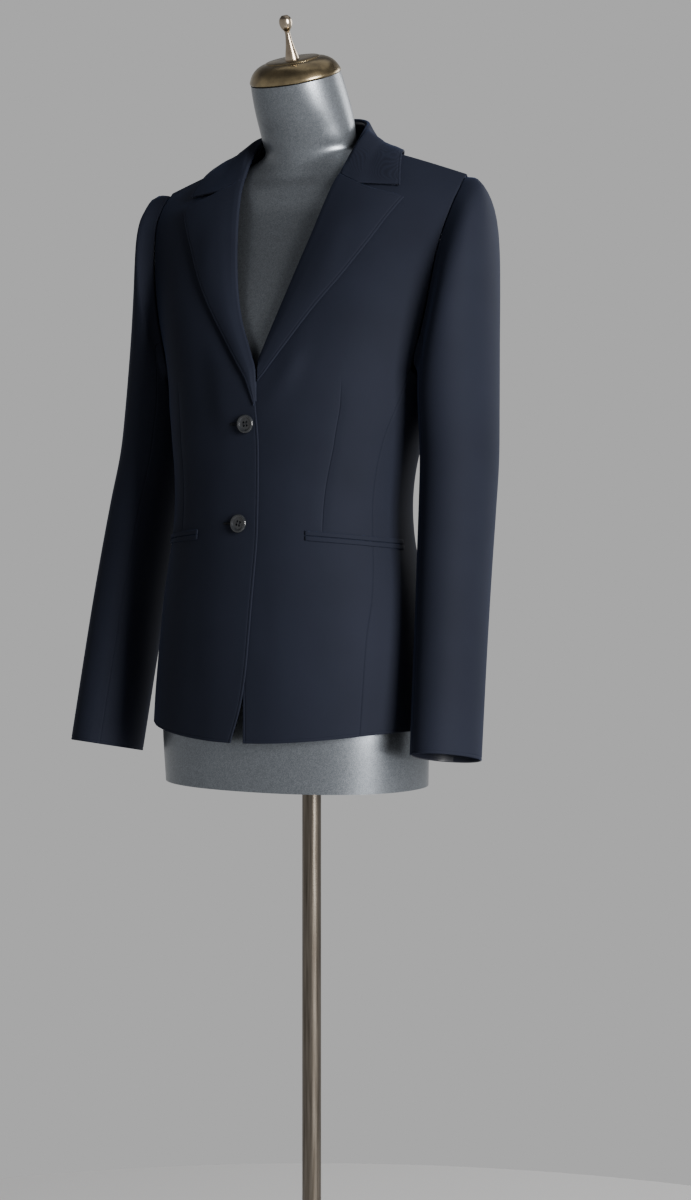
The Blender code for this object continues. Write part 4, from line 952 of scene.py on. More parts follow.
def shell(name, points, side, thickness, borders, outward=0.0, relief=None, stitched=None):
    """A closed piece of cloth over the fine grid of its outer surface, wearer's left.

    thickness is one number or a column of them, one for each row. borders gives the kind
    of the left, right, low and high border: free, seam or plain. stitched weighs the stitch
    line at every point. On side -1 the piece is mirrored. Returns its outer surface.
    """
    rows, cols = points.shape[:2]
    normals = normals_of(points)
    outer = np.full((rows, cols), outward)
    nose = np.zeros((rows, cols))
    weights = 1.0 if stitched is None else stitched
    distances = border_distances(points)
    for kind, distance in zip(borders, distances):
        if kind == "free":
            nose = np.maximum(nose, nose_drop(distance, 0.5 * thickness))
            outer -= stitch_drop(distance) * weights
        elif kind == "seam":
            outer -= seam_drop(distance)
    inner = outward - thickness + nose
    outer -= nose
    if relief is not None:
        outer += relief
    outer = np.maximum(outer, inner)
    front = points + normals * outer[..., None]
    back = points + normals * inner[..., None]
    uvs = np.stack([distances[0], distances[2]], axis=2)
    if side < 0:
        flip = np.array((-1.0, 1.0, 1.0))
        front = front[:, ::-1] * flip
        back = back[:, ::-1] * flip
        uvs = uvs[:, ::-1]
    count = rows * cols
    faces = grid_faces(rows, cols)
    faces += [tuple(reversed(face)) for face in grid_faces(rows, cols, count)]
    lining = range(len(faces) // 2, len(faces))
    rim = rim_of(rows, cols)
    for k, a in enumerate(rim):
        b = rim[(k + 1) % len(rim)]
        faces.append((b, a, count + a, count + b))
    verts = np.concatenate([front.reshape(-1, 3), back.reshape(-1, 3)])
    uvs = np.concatenate([uvs.reshape(-1, 2)] * 2)
    mesh = mesh_of(name, verts.tolist(), faces, (LIVERY["wool"], LIVERY["lining"]), lining, uvs)
    made_piece(f"{name}_cloth", mesh, name)
    return front


# ---------------------------------------------------------------- body panels
HEMMED = ("seam", "seam", "free", "seam")     # borders of a piece with seams and a hem
STITCH_ENDS = (0.018, 0.004)   # below the lapel, the front's stitch line fades out between these
DART_TOP_Z = 1.120
DART_LOW_Z = 0.9640
DART_ANGLES = ((0.960, 1.044, 1.120), (39.2, 41.3, 40.2))    # heights, angles
DART_SINK = ((0.00050, 0.00040), (0.00060, 0.0045))     # depth and width, sharp and soft


def dart_share(z, side):
    """The share of the front's width at which the waist dart runs."""
    angle = float(np.interp(z, *DART_ANGLES))
    first = angle_at_x(z, edge_x(z, side))
    return (angle - first) / (front_seam(z) - first)


def front_fine(side):
    """The front's fine grid on a wearer's left, with the relief of its dart."""
    weights = np.zeros(COLS_FRONT + 1)
    weights[[0, -1]] = 1.0
    weights[[1, -2]] = 0.3

    def line(row, knots):
        share = dart_share(row[0][2], side)
        return float(np.interp(share * COLS_FRONT, np.arange(COLS_FRONT + 1), knots))

    grid = front_grid(side)
    points = fine_grid(grid, FREE, SEAM, FREE, SEAM, (ROWS_LOW, weights), line)
    plain = points.shape[1] - len(FREE) - len(SEAM) - len(DART)
    dart = len(FREE) + plain // 2 + len(DART) // 2
    across = lengths_along(points, 1)
    distance = across - across[:, dart:dart + 1]
    z = points[..., 2]
    shown = (smooth_rise(z, DART_LOW_Z - 0.004, DART_LOW_Z + 0.002)
             * (1.0 - smooth_rise(z, DART_TOP_Z - 0.030, DART_TOP_Z)))
    relief = np.zeros(z.shape)
    for depth, width in DART_SINK:
        relief -= depth * shown * np.exp(-(distance / width) ** 2)
    return points, relief


def smooth_rise(values, start, end):
    """0 below start, 1 above end, and smooth between, for arrays."""
    t = np.clip((values - start) / (end - start), 0.0, 1.0)
    return t * t * (3.0 - 2.0 * t)


def build_body():
    """Fronts, sides and backs; returns the fine outer surfaces by name, each on its own side."""
    made = {}
    side_points = fine_grid(side_grid(), FREE, SEAM, SEAM, SEAM)
    weights = np.zeros(COLS_BACK + 1)
    weights[[0, 1]] = (1.0, 0.3)
    back_points = fine_grid(back_grid(), FREE, SEAM, SEAM, SEAM, (ROWS_LOW, weights))
    for side, word in SIDES:
        front_points, relief = front_fine(side)
        stitch_ends = [LAPEL_LOW_Z[side] - drop for drop in STITCH_ENDS]
        below_lapel = 1.0 - smooth_rise(front_points[..., 2], *stitch_ends)
        made[f"front_{word}"] = shell(f"front_{word}", front_points, side, CLOTH,
                                      ("free", "seam", "free", "seam"), 0.0, relief,
                                      below_lapel)
        made[f"side_{word}"] = shell(f"side_{word}", side_points, side, CLOTH, HEMMED)
        made[f"back_{word}"] = shell(f"back_{word}", back_points, side, CLOTH, HEMMED)
    return made


def build_sleeves():
    for side, word in SIDES:
        top = sleeve_grid(side, FRONT_SLEEVE_SEAM, BACK_SLEEVE_SEAM - 360.0, TOP_SLEEVE_COLS)
        under = sleeve_grid(side, BACK_SLEEVE_SEAM, FRONT_SLEEVE_SEAM, UNDER_SLEEVE_COLS)
        for name, grid in (("top_sleeve", top), ("under_sleeve", under)):
            points = fine_grid(grid, FREE, SEAM, SEAM, SEAM)
            shell(f"{name}_{word}", points, side, CLOTH, HEMMED)


# ---------------------------------------------------------------- lapels and collar
FOLD_TURNS = tuple(math.radians(FOLD_ANGLES[0] + (FOLD_ANGLES[-1] - FOLD_ANGLES[0]) * k / 9)
                   for k in range(10))
LAPEL_FINE_ROWS = 52
FLAT_FINE_COLS = 22
COLLAR_FINE_COLS = 56
STAND_FINE_COLS = 40
STAND_FINE_ROWS = 6
LAPEL_LENGTH = 0.215
COLLAR_REACH = 0.26       # from the centre back to the collar's front end
STAND_INSET = 0.0015      # the stand's top lies this far inside the collar's fold
PAST_FOLD = 0.0015        # first grid line of a lapel or the collar past its fold
SLOPE_REACH = 0.02        # share of a lapel's height over which its roll's direction is read
NOTCH_SHARE = 2.0 / 6.0   # of the lapel's top edge, taken by the gorge seam


def tree_of_fine(surfaces):
    return tree_of([[[Vector(point) for point in row] for row in points]
                    for points in surfaces])


GorgeEnd = namedtuple("GorgeEnd", "fold row shares arms")


def lapel_fine(side, front):
    """The lapel's fine grid on a wearer's left over the front's fine surface.

    Returns the points, the wall at each row, and the end that the collar's front end meets.
    """
    tree = tree_of_fine([front])
    roll = [Vector(point) for point in front[:, 0]]
    edge_name = "left_x" if side > 0 else "right_x"
    start = LAPEL_START_Z[side]
    grid = []
    walls = []
    for place in places(LAPEL_LENGTH, LAPEL_FINE_ROWS, (0.0, 0.0008), FREE):
        v = place / LAPEL_LENGTH
        fold = roll_at(roll, mix(start, GORGE_TOP_Z, v))
        ahead = roll_at(roll, mix(start, GORGE_TOP_Z, min(v + SLOPE_REACH, 1.0)))
        behind = roll_at(roll, mix(start, GORGE_TOP_Z, max(v - SLOPE_REACH, 0.0)))
        up = (ahead - behind).normalized()
        tip_z = mix(LAPEL_LOW_Z[side], LAPEL_EDGE[-1].z, v)
        tip_x = column(LAPEL_EDGE, edge_name, tip_z)
        inside = fold + Vector((0.004, 0.0, 0.0))
        normal = on_chest(tree, inside.x, inside.z)[1]
        opening = normal.cross(up).normalized()
        centre = fold + opening * SEAM_GAP
        arms = [opening * math.cos(turn) + normal * math.sin(turn) for turn in FOLD_TURNS]
        radius = lapel_size(side, v, END_RADIUS, FOLD_RADIUS)
        walls.append([lapel_size(side, v, END_CLOTH, LAPEL_CLOTH)])
        line = [centre + arm * radius for arm in arms]
        span_x = tip_x - fold.x
        width = math.hypot(span_x, tip_z - fold.z)
        shares = places(width, FLAT_FINE_COLS, (PAST_FOLD,), FREE) / width
        for u in shares:
            x = fold.x + span_x * u
            z = mix(fold.z, tip_z, u) + gorge_bend(u) * smoothstep((v - 0.9) / 0.1)
            surface, up_from = on_chest(tree, x, z)
            lift = radius + LAPEL_BELLY * math.sin(math.pi * u) * smoothstep(3.0 * v)
            lift += mix(BREAK_LIFT[side], EDGE_LIFT, smoothstep(4.0 * v)) * smoothstep(3.0 * u)
            line.append(surface + up_from * lift)
        grid.append(line)
    return grid, walls, GorgeEnd(fold, grid[-1], shares, arms)


def gorge_place(end, u):
    """A place on the collar's front end: along the gorge seam, then out to the tip."""
    flat = end.row[len(FOLD_TURNS):]

    def on_lapel(share):
        k = int(np.clip(np.searchsorted(end.shares, share) - 1, 0, len(flat) - 2))
        t = (share - end.shares[k]) / (end.shares[k + 1] - end.shares[k])
        return mix(flat[k], flat[k + 1], float(t))

    if u <= NOTCH_SHARE:
        return on_lapel(u)
    return mix(on_lapel(NOTCH_SHARE), COLLAR_EDGE[-1], (u - NOTCH_SHARE) / (1.0 - NOTCH_SHARE))


def collar_column(share, end, tree):
    """One column of the collar's fall, from its fold to its edge, wearer's left.

    Also returns the height over the body that each of its points needs, and the way out.
    """
    step = 0.01
    fold_points = COLLAR_FOLD + [end.fold]
    place = along(fold_points, share)
    ahead = along(fold_points, min(share + step, 1.0)) - along(fold_points, max(share - step, 0.0))
    to_edge = along(COLLAR_EDGE, share) - place
    forward = ahead.normalized()
    outward = to_edge.cross(forward).normalized()
    if outward.z < 0.0:
        outward = -outward
    opening = -(to_edge - forward * to_edge.dot(forward)).normalized()
    near_end = smoothstep((share - FRONT_END_SHARE) / (1.0 - FRONT_END_SHARE))
    line = []
    for turn, last in zip(FOLD_TURNS, end.arms):
        arm = opening * math.cos(turn) + outward * math.sin(turn)
        line.append(place + mix(arm, last, near_end).normalized() * FOLD_RADIUS)
    needs = [0.0] * len(line)
    need = LAPEL_CLOTH + LAYER_GAP
    edge = collar_edge(share, tree, need + SHOULDER_CLEARANCE)
    width = (edge - line[-1]).length
    spare = SHOULDER_CLEARANCE * (1.0 - near_end)
    start = line[-1]
    for u in places(width, FLAT_FINE_COLS, (PAST_FOLD,), FREE) / width:
        point = mix(start, edge, u) + outward * (COLLAR_BELLY * math.sin(math.pi * u))
        line.append(mix(point, gorge_place(end, u), near_end))
        needs.append(need + spare if share < 1.0 or u > NOTCH_SHARE else 0.0)
    return line, needs, outward


def build_lapels_and_collar(body):
    """Lapels, collar and stand over the fine body surfaces."""
    tops = {}
    for side, word in SIDES:
        front = own_left(body[f"front_{word}"], side)
        grid, walls, tops[word] = lapel_fine(side, front)
        points = array_of(grid)
        points[-1] += (points[-2] - points[-1]) * 0.4
        across = lengths_along(points, 1)
        free_top = smooth_rise(across / across[:, -1:], NOTCH_SHARE + 0.02, NOTCH_SHARE + 0.10)
        up = border_distances(points)[3]
        near_top = (up < 0.006) * 1.0
        stitched = 1.0 - near_top * (1.0 - free_top)
        shell(f"lapel_{word}", points, side, np.array(walls),
              ("plain", "free", "plain", "free"), 0.0, None, stitched)
    tree = tree_of_fine([body["front_left"], body["back_left"]])
    shares = places(COLLAR_REACH, COLLAR_FINE_COLS, (0.0,), FREE) / COLLAR_REACH
    found = [collar_column(float(share), tops["left"], tree) for share in shares]
    columns = cleared(*[list(part) for part in zip(*found)], tree)
    points = both_halves(columns)
    shell("collar", points, 1, LAPEL_CLOTH, ("free", "free", "plain", "free"))
    build_stand(body)


def own_left(points, side):
    """A piece's surface as it lies on the wearer's left."""
    if side > 0:
        return points
    return points[:, ::-1] * np.array((-1.0, 1.0, 1.0))


def both_halves(columns):
    """A whole grid out of the left half's columns: rows from fold to edge."""
    half = array_of(columns)
    mirror = half[:0:-1] * np.array((-1.0, 1.0, 1.0))
    return np.concatenate([mirror, half]).transpose(1, 0, 2)


def build_stand(body):
    """The collar's stand, from the neck edge up to the collar's fold, inside."""
    back_neck = [point for point in body["back_left"][-1] if point[0] < NECK_POINT.x + 0.001]
    front_neck = [point for point in body["front_left"][:, 0] if point[2] > GORGE_TOP_Z]
    neck = [Vector(point) for point in back_neck[::-1] + front_neck[::-1]]
    half = []
    for share in np.linspace(0.0, 1.0, STAND_FINE_COLS):
        base = along(neck, STAND_END_SHARE * share)
        inward = Vector((-base.x, -base.y, 0.0)).normalized()
        low = base + inward * CLOTH + Vector((0.0, 0.0, 2.0 * SEAM_GAP))
        high = along(COLLAR_FOLD, STAND_END_SHARE * share) + inward * STAND_INSET
        half.append([mix(low, high, i / STAND_FINE_ROWS) for i in range(STAND_FINE_ROWS + 1)])
    points = both_halves(half)[:, ::-1]
    shell("collar_stand", points, 1, CLOTH, ("plain",) * 4)


# ---------------------------------------------------------------- pockets
WELT_SPACING = 0.003
WELT_PILLOW = 0.00006
POCKET_RADIUS = 0.14      # of the body at the pockets, about
WELT_EXTRA = 0.0003       # wall over the welt's own, because its turned edges take some
WELT_SINK = 0.0002        # and how far that moves its face back
WELT_ENDS = (0.0, 0.0003, 0.0008)
WELT_EDGES = (0.0, 0.00015, 0.0004, 0.0008)


def build_pockets():
    """Two welts on each side, each a folded strip with a soft rounded face."""
    span = math.radians(POCKET_ANGLES[1][1] - POCKET_ANGLES[1][0]) * POCKET_RADIUS
    shares = places(span, int(span / WELT_SPACING), WELT_ENDS, WELT_ENDS) / span
    rises = places(WELT_HEIGHT, 4, WELT_EDGES, WELT_EDGES) / WELT_HEIGHT
    for side, word in SIDES:
        for level, offset in (("upper", 0.0), ("lower", WELT_HEIGHT + 2.0 * SEAM_GAP)):
            grid = []
            for rise in rises:
                row = []
                for share in shares:
                    angle = mix(*POCKET_ANGLES[side], share)
                    top = POCKET_FRONT_Z - POCKET_DROP * share - offset
                    row.append(body_point(top - WELT_HEIGHT * (1.0 - rise), angle))
                grid.append(row)
            points = array_of(grid)
            swell = WELT_PILLOW * np.sin(np.pi * np.array(rises))[:, None] * np.ones(len(shares))
            shell(f"pocket_welt_{level}_{word}", points, side, WELT_THICK + WELT_EXTRA,
                  ("free",) * 4, WELT_LIFT + WELT_THICK - WELT_SINK, swell,
                  np.zeros(swell.shape))


# ---------------------------------------------------------------- buttons and buttonholes
BUTTON_FINE = [
    (0.0, 0.00), (0.60, 0.00), (0.80, 0.03), (0.93, 0.14), (0.985, 0.34), (1.0, 0.55),
    (0.985, 0.78), (0.94, 0.93), (0.88, 1.00), (0.81, 0.985), (0.745, 0.92), (0.70, 0.80),
    (0.655, 0.70), (0.58, 0.655), (0.40, 0.64), (0.0, 0.64),
]
BUTTON_FINE_SIDES = 72
BUTTON_FACE = 0.64        # height of the sunk face, as a share of the button's thickness
HOLE_RADIUS = 0.0012
DRILL = [(0.0, -0.004), (HOLE_RADIUS, -0.004), (HOLE_RADIUS, 0.008), (0.0, 0.008)]
HOLE_OFFSET = 0.0024
HOLE_TURNS = {"button_upper": 52.0, "button_lower": 30.0}
THREAD_RADIUS = 0.00028
BAR_STEPS = 8
BAR_RISE = 0.00025        # of a thread bar's middle over the button's face
BAR_DIP = 0.0012          # of its ends into the holes
SHANK = ((-0.0006, 0.0021), (0.0, 0.0019), (0.0006, 0.0020))     # heights, radii
BUTTONHOLE_LENGTH = 0.0215
BUTTONHOLE_START = 0.0015
BUTTONHOLE_HALF = 0.0011
STITCH_PITCH = 0.00065
PURL_RADIUS = 0.00042
PURL_SWELL = 0.00013      # how much each stitch swells and narrows
PURL_LIFT = 0.00005       # of the purl's middle over the cloth
SLIT_HALF = 0.00045
SLIT_LIFT = 0.00008
SLIT_THICK = 0.0005
SLIT_STEPS = 24


def lathe(profile, sides):
    """Vertices and faces of a solid of revolution about Z, from (radius, z) points."""
    verts = []
    rings = []
    for radius, z in profile:
        if radius == 0.0:
            rings.append([len(verts)])
            verts.append((0.0, 0.0, z))
            continue
        rings.append(list(range(len(verts), len(verts) + sides)))
        verts += [(radius * math.cos(2.0 * math.pi * k / sides),
                   radius * math.sin(2.0 * math.pi * k / sides), z) for k in range(sides)]
    faces = []
    for low, high in zip(rings, rings[1:]):
        for k in range(sides):
            nxt = (k + 1) % sides
            if len(low) == 1:
                faces.append((low[0], high[nxt], high[k]))
            elif len(high) == 1:
                faces.append((low[k], low[nxt], high[0]))
            else:
                faces.append((low[k], low[nxt], high[nxt], high[k]))
    return verts, faces


def tube(path, radii, sides=8):
    """A closed tube along a path of points, with a radius at each point."""
    verts = []
    side_hint = Vector((0.0, -1.0, 0.0))
    for k, point in enumerate(path):
        ahead = path[min(k + 1, len(path) - 1)] - path[max(k - 1, 0)]
        forward = ahead.normalized()
        across = forward.cross(side_hint).normalized()
        rise = across.cross(forward)
        for j in range(sides):
            turn = 2.0 * math.pi * j / sides
            verts.append(point + (across * math.cos(turn) + rise * math.sin(turn)) * radii[k])
    faces = [tuple(reversed(range(sides)))]
    for k in range(len(path) - 1):
        for j in range(sides):
            a = k * sides + j
            b = k * sides + (j + 1) % sides
            faces.append((a, b, b + sides, a + sides))
    last = (len(path) - 1) * sides
    faces.append(tuple(range(last, last + sides)))
    return verts, faces


def joined(parts):
    """Several (verts, faces) as one."""
    verts = []
    faces = []
    for some_verts, some_faces in parts:
        base = len(verts)
        verts += [tuple(v) for v in some_verts]
        faces += [tuple(base + k for k in face) for face in some_faces]
    return verts, faces


def build_buttons(body):
    coarse = tree_of([oriented(front_grid(-1), -1)])
    fine = tree_of_fine([body["front_right"]])
    for name, button_x, z in zip(BUTTON_NAMES, BUTTON_X, BUTTON_HEIGHTS):
        seat, normal = on_chest(coarse, button_x, z)
        turn = normal.to_track_quat("Z", "X")
        at = seat + normal * (SEAM_GAP + CLOTH * 0.25)
        profile = [(r * BUTTON_RADIUS, h * BUTTON_THICK) for r, h in BUTTON_FINE]
        verts, faces = lathe(profile, BUTTON_FINE_SIDES)
        verts = [at + turn @ Vector(v) for v in verts]
        mesh = mesh_of(f"{name}_horn", verts, faces, (LIVERY["horn"],))
        button = made_piece(f"{name}_horn", mesh, name)
        drill_holes(button, name, at, turn)
        sew_button(name, at, turn)
        build_buttonhole(name, fine, button_x, z)


def hole_places(name):
    turns = [math.radians(HOLE_TURNS[name] + 90.0 * k) for k in range(4)]
    return [Vector((HOLE_OFFSET * math.cos(turn), HOLE_OFFSET * math.sin(turn), 0.0))
            for turn in turns]


def drill_holes(button, name, at, turn):
    """Cuts the four thread holes into the button's mesh."""
    pins = []
    for place in hole_places(name):
        verts, faces = lathe(DRILL, 20)
        pins.append(([at + turn @ (Vector(v) + place) for v in verts], faces))
    verts, faces = joined(pins)
    mesh = bpy.data.meshes.new("pins")
    mesh.from_pydata(verts, [], faces)
    cutter = bpy.data.objects.new("pins", mesh)
    bpy.context.scene.collection.objects.link(cutter)
    cut = button.modifiers.new("holes", "BOOLEAN")
    cut.operation = "DIFFERENCE"
    cut.solver = "EXACT"
    cut.object = cutter
    graph = bpy.context.evaluated_depsgraph_get()
    drilled = bpy.data.meshes.new_from_object(button.evaluated_get(graph))
    button.modifiers.clear()
    button.data = drilled
    bpy.data.objects.remove(cutter, do_unlink=True)
    drilled.shade_smooth()
    drilled.set_sharp_from_angle(angle=math.radians(40.0))


def sew_button(name, at, turn):
    """Two thread bars over the holes and the shank of thread under the button."""
    spots = hole_places(name)
    parts = []
    face = BUTTON_FACE * BUTTON_THICK
    for first, second in ((0, 1), (3, 2)):
        path = []
        for k in range(BAR_STEPS + 1):
            t = k / BAR_STEPS
            rise = face + BAR_RISE * math.sin(math.pi * t) - BAR_DIP * (abs(2.0 * t - 1.0) ** 6)
            path.append(at + turn @ (mix(spots[first], spots[second], t)
                                     + Vector((0.0, 0.0, rise))))
        parts.append(tube(path, [THREAD_RADIUS] * len(path)))
    shank = [at + turn @ Vector((0.0, 0.0, z)) for z, _ in SHANK]
    parts.append(tube(shank, [radius for _, radius in SHANK], 16))
    verts, faces = joined(parts)
    mesh = mesh_of(f"{name}_thread", verts, faces, (LIVERY["thread"],), sharp_angle=60.0)
    made_piece(f"{name}_thread", mesh, None)


def build_buttonhole(name, tree, button_x, z):
    """The purl-stitched buttonhole that runs from the button towards the wearer's right, and a
    near-black sheet in its slit as painted shade.
    """
    half_length = 0.5 * BUTTONHOLE_LENGTH
    middle = button_x + BUTTONHOLE_START - half_length
    straight = half_length - BUTTONHOLE_HALF
    outline = 4.0 * straight + 2.0 * math.pi * BUTTONHOLE_HALF
    count = int(outline / STITCH_PITCH) * 4
    path = []
    radii = []
    for k in range(count + 1):
        s = outline * k / count
        if s < 2.0 * straight:
            x = straight - s
            rise = BUTTONHOLE_HALF
        elif s < 2.0 * straight + math.pi * BUTTONHOLE_HALF:
            turn = (s - 2.0 * straight) / BUTTONHOLE_HALF
            x = -straight - BUTTONHOLE_HALF * math.sin(turn)
            rise = BUTTONHOLE_HALF * math.cos(turn)
        elif s < 4.0 * straight + math.pi * BUTTONHOLE_HALF:
            x = -straight + (s - 2.0 * straight - math.pi * BUTTONHOLE_HALF)
            rise = -BUTTONHOLE_HALF
        else:
            turn = (s - 4.0 * straight - math.pi * BUTTONHOLE_HALF) / BUTTONHOLE_HALF
            x = straight + BUTTONHOLE_HALF * math.sin(turn)
            rise = -BUTTONHOLE_HALF * math.cos(turn)
        seat, normal = on_chest(tree, middle + x, z + rise)
        path.append(seat + normal * PURL_LIFT)
        radii.append(PURL_RADIUS + PURL_SWELL * math.cos(0.5 * math.pi * k))
    verts, faces = tube(path, radii, 6)
    # painted shade: a near-black sheet just over the cloth along the slit, standing in for the shade
    # inside the cut
    slit = []
    for k in range(SLIT_STEPS + 1):
        x = mix(-straight, straight, k / SLIT_STEPS)
        for rise in (-SLIT_HALF, SLIT_HALF):
            seat, normal = on_chest(tree, middle + x, z + rise)
            slit.append(seat + normal * SLIT_LIFT)
    slit_faces = [(a, a + 1, a + 3, a + 2) for a in range(0, 2 * SLIT_STEPS, 2)]
    hole = mesh_of(f"{name}_buttonhole", verts, faces, (LIVERY["thread"],), sharp_angle=70.0)
    made_piece(f"{name}_buttonhole", hole, None)
    slit_shade_sheet = mesh_of(f"{name}_slit", *walled(slit, slit_faces), (LIVERY["slit"],))
    made_piece(f"{name}_slit", slit_shade_sheet, None)


def walled(verts, faces):
    """A strip of faces made into a closed thin solid, pushed back by its thickness."""
    back = [v + Vector((0.0, SLIT_THICK, 0.0)) for v in verts]
    count = len(verts)
    closed = list(faces)
    closed += [tuple(count + k for k in reversed(face)) for face in faces]
    edges = {}
    for face in faces:
        for a, b in zip(face, face[1:] + face[:1]):
            edges[(a, b)] = edges.get((b, a)) is None
            if (b, a) in edges:
                edges[(b, a)] = False
    for (a, b), open_edge in edges.items():
        if open_edge:
            closed.append((b, a, count + a, count + b))
    return [tuple(v) for v in verts + back], closed


# ---------------------------------------------------------------- form and stand
NECK_BASE = (1.332, 1.420)    # heights between which the neck runs softly out of the shoulders
NECK_ROUNDS = 14
CAP_FINE = [              # share of the cap's radii, height over its rim
    (0.0, 0.0), (0.985, 0.0), (1.003, 0.0006), (1.010, 0.0018), (1.006, 0.0030),
    (0.990, 0.0046), (0.965, 0.0072), (0.925, 0.0102), (0.870, 0.0131), (0.800, 0.0156),
    (0.720, 0.0174), (0.640, 0.0184), (0.600, 0.0187), (0.596, 0.0194), (0.580, 0.0198),
    (0.300, 0.0199), (0.0, 0.0199),
]
BASE_FINE = [             # share of the base's radius, height over the floor
    (0.0, 0.0), (0.930, 0.0), (0.972, 0.0006), (0.992, 0.0020), (1.0, 0.0042),
    (0.997, 0.0072), (0.985, 0.0092), (0.955, 0.0112), (0.900, 0.0126), (0.780, 0.0140),
    (0.600, 0.0154), (0.400, 0.0168), (0.220, 0.0181), (0.170, 0.0187), (0.150, 0.0190),
    (0.0, 0.0190),
]
FLANGE_FINE = [           # radius, depth under the form
    (0.0, 0.0123), (0.0190, 0.0123), (0.0215, 0.0116), (0.0440, 0.0068),
    (0.0458, 0.0056), (0.0460, 0.0045), (0.0460, 0.0004), (0.0, 0.0004),
]
POLE_ENDS = (0.0193, FORM_LOW_Z - 0.0126)


def fine_rings(rings, rows_per_ring=4, sides=96):
    """Coarse rings read finely, round and along."""
    points = array_of(rings)
    wrapped = np.concatenate([points[:, -2:], points, points[:, :3]], axis=1)
    count = points.shape[1]
    knots = np.repeat(np.arange(-2, count + 3, dtype=float)[:, None], len(rings), 1)
    at = np.repeat(np.linspace(0.0, count, sides, endpoint=False)[:, None], len(rings), 1)
    round_points = read_curves(wrapped.transpose(1, 0, 2), knots, at).transpose(1, 0, 2)
    heights = lengths_along(round_points, 0).mean(axis=1)
    knots = np.repeat(heights[:, None], sides, 1)
    at = np.interp(np.linspace(0, len(rings) - 1, (len(rings) - 1) * rows_per_ring + 1),
                   np.arange(len(rings)), heights)
    return read_curves(round_points, knots, np.repeat(at[:, None], sides, 1))


def ring_solid(points):
    """Vertices and faces over closed rings, with flat ends."""
    rows, sides = points.shape[:2]
    verts = [tuple(v) for v in points.reshape(-1, 3).tolist()]
    faces = [tuple(reversed(range(sides)))]
    for i in range(rows - 1):
        for k in range(sides):
            a = i * sides + k
            b = i * sides + (k + 1) % sides
            faces.append((a, b, b + sides, a + sides))
    faces.append(tuple(range((rows - 1) * sides, rows * sides)))
    return verts, faces


def softened(points, heights, rounds):
    """The rings between two heights evened with the rings over and under them."""
    place = points[..., 2].mean(axis=1)
    inside = np.where((place > heights[0]) & (place < heights[1]))[0]
    for _ in range(rounds):
        points[inside] = (0.25 * points[inside - 1] + 0.5 * points[inside]
                          + 0.25 * points[inside + 1])
    return points


def build_form():
    """The form's torso and neck inside the jacket, and its cap and finial."""
    coarse = [oriented(front_grid(side), side) for side in (1, -1)]
    coarse += [oriented(side_grid(), side) for side in (1, -1)]
    coarse += [oriented(back_grid(), side) for side in (1, -1)]
    tree = tree_of(coarse)
    rings = [form_ring(row, tree) for row in FORM_ROWS]
    points = softened(fine_rings(rings), NECK_BASE, NECK_ROUNDS)
    verts, faces = ring_solid(points)
    mesh = mesh_of(FORM, verts, faces, (LIVERY["cover"],), sharp_angle=50.0)
    made_piece(FORM, mesh, "form_torso")
    top = FORM_ROWS[-1]
    foot = Vector((0.0, 0.5 * (top.front_y + top.back_y), top.z))
    axis = Vector((0.0, -math.sin(NECK_LEAN), math.cos(NECK_LEAN)))
    verts, faces = lathe(CAP_FINE, 96)
    lean = Vector((0.0, 0.0, 1.0)).rotation_difference(axis)
    verts = [foot + axis * SEAM_GAP + lean @ Vector((x * CAP_RADII[0], y * CAP_RADII[1], z))
             for x, y, z in verts]
    mesh = mesh_of("neck_cap_brass", verts, faces, (LIVERY["brass"],), sharp_angle=50.0)
    made_piece("neck_cap_brass", mesh, "neck_cap")
    cap_top = CAP_HEIGHT + 2.0 * SEAM_GAP
    profile = smooth_profile(FINIAL_PROFILE, 5)
    verts, faces = lathe([(0.0, FINIAL_PROFILE[0][1])] + profile + [(0.0, profile[-1][1])], 48)
    verts = [foot + axis * cap_top + lean @ Vector(v) for v in verts]
    mesh = mesh_of("finial_brass", verts, faces, (LIVERY["finial"],), sharp_angle=60.0)
    made_piece("finial_brass", mesh, "finial")


def smooth_profile(points, steps):
    """A profile with steps places between its points."""
    knots = [0.0]
    for a, b in zip(points, points[1:]):
        knots.append(knots[-1] + math.hypot(b[0] - a[0], b[1] - a[1]))
    made = []
    for i in range(len(points) - 1):
        for k in range(steps):
            at = mix(knots[i], knots[i + 1], k / steps)
            made.append((max(spline(knots, [p[0] for p in points], at), 0.0005),
                         spline(knots, [p[1] for p in points], at)))
    made.append(points[-1])
    return made


def build_metal_stand():
    low, high = POLE_ENDS
    parts = {
        "base": ([(share * BASE_RADIUS, z) for share, z in BASE_FINE], 128),
        "pole": ([(0.0, low), (POLE_RADIUS, low), (POLE_RADIUS, high), (0.0, high)], 48),
        "pole_flange": ([(radius, FORM_LOW_Z - depth) for radius, depth in FLANGE_FINE], 64),
    }
    for name, (profile, sides) in parts.items():
        verts, faces = lathe(profile, sides)
        mesh = mesh_of(f"{name}_bronze", verts, faces, (LIVERY["bronze"],), sharp_angle=40.0)
        made_piece(f"{name}_bronze", mesh, name)


# ---------------------------------------------------------------- finishes
def finish_of(name, colour, roughness, **settings):
    """A Principled material; returns the material, its node tree and the shader."""
    made = bpy.data.materials.new(name)
    made.use_nodes = True
    tree = made.node_tree
    shader = tree.nodes["Principled BSDF"]
    shader.inputs["Base Color"].default_value = (*colour, 1.0)
    shader.inputs["Roughness"].default_value = roughness
    for key, value in settings.items():
        shader.inputs[key.replace("_", " ")].default_value = value
    return made, tree, shader


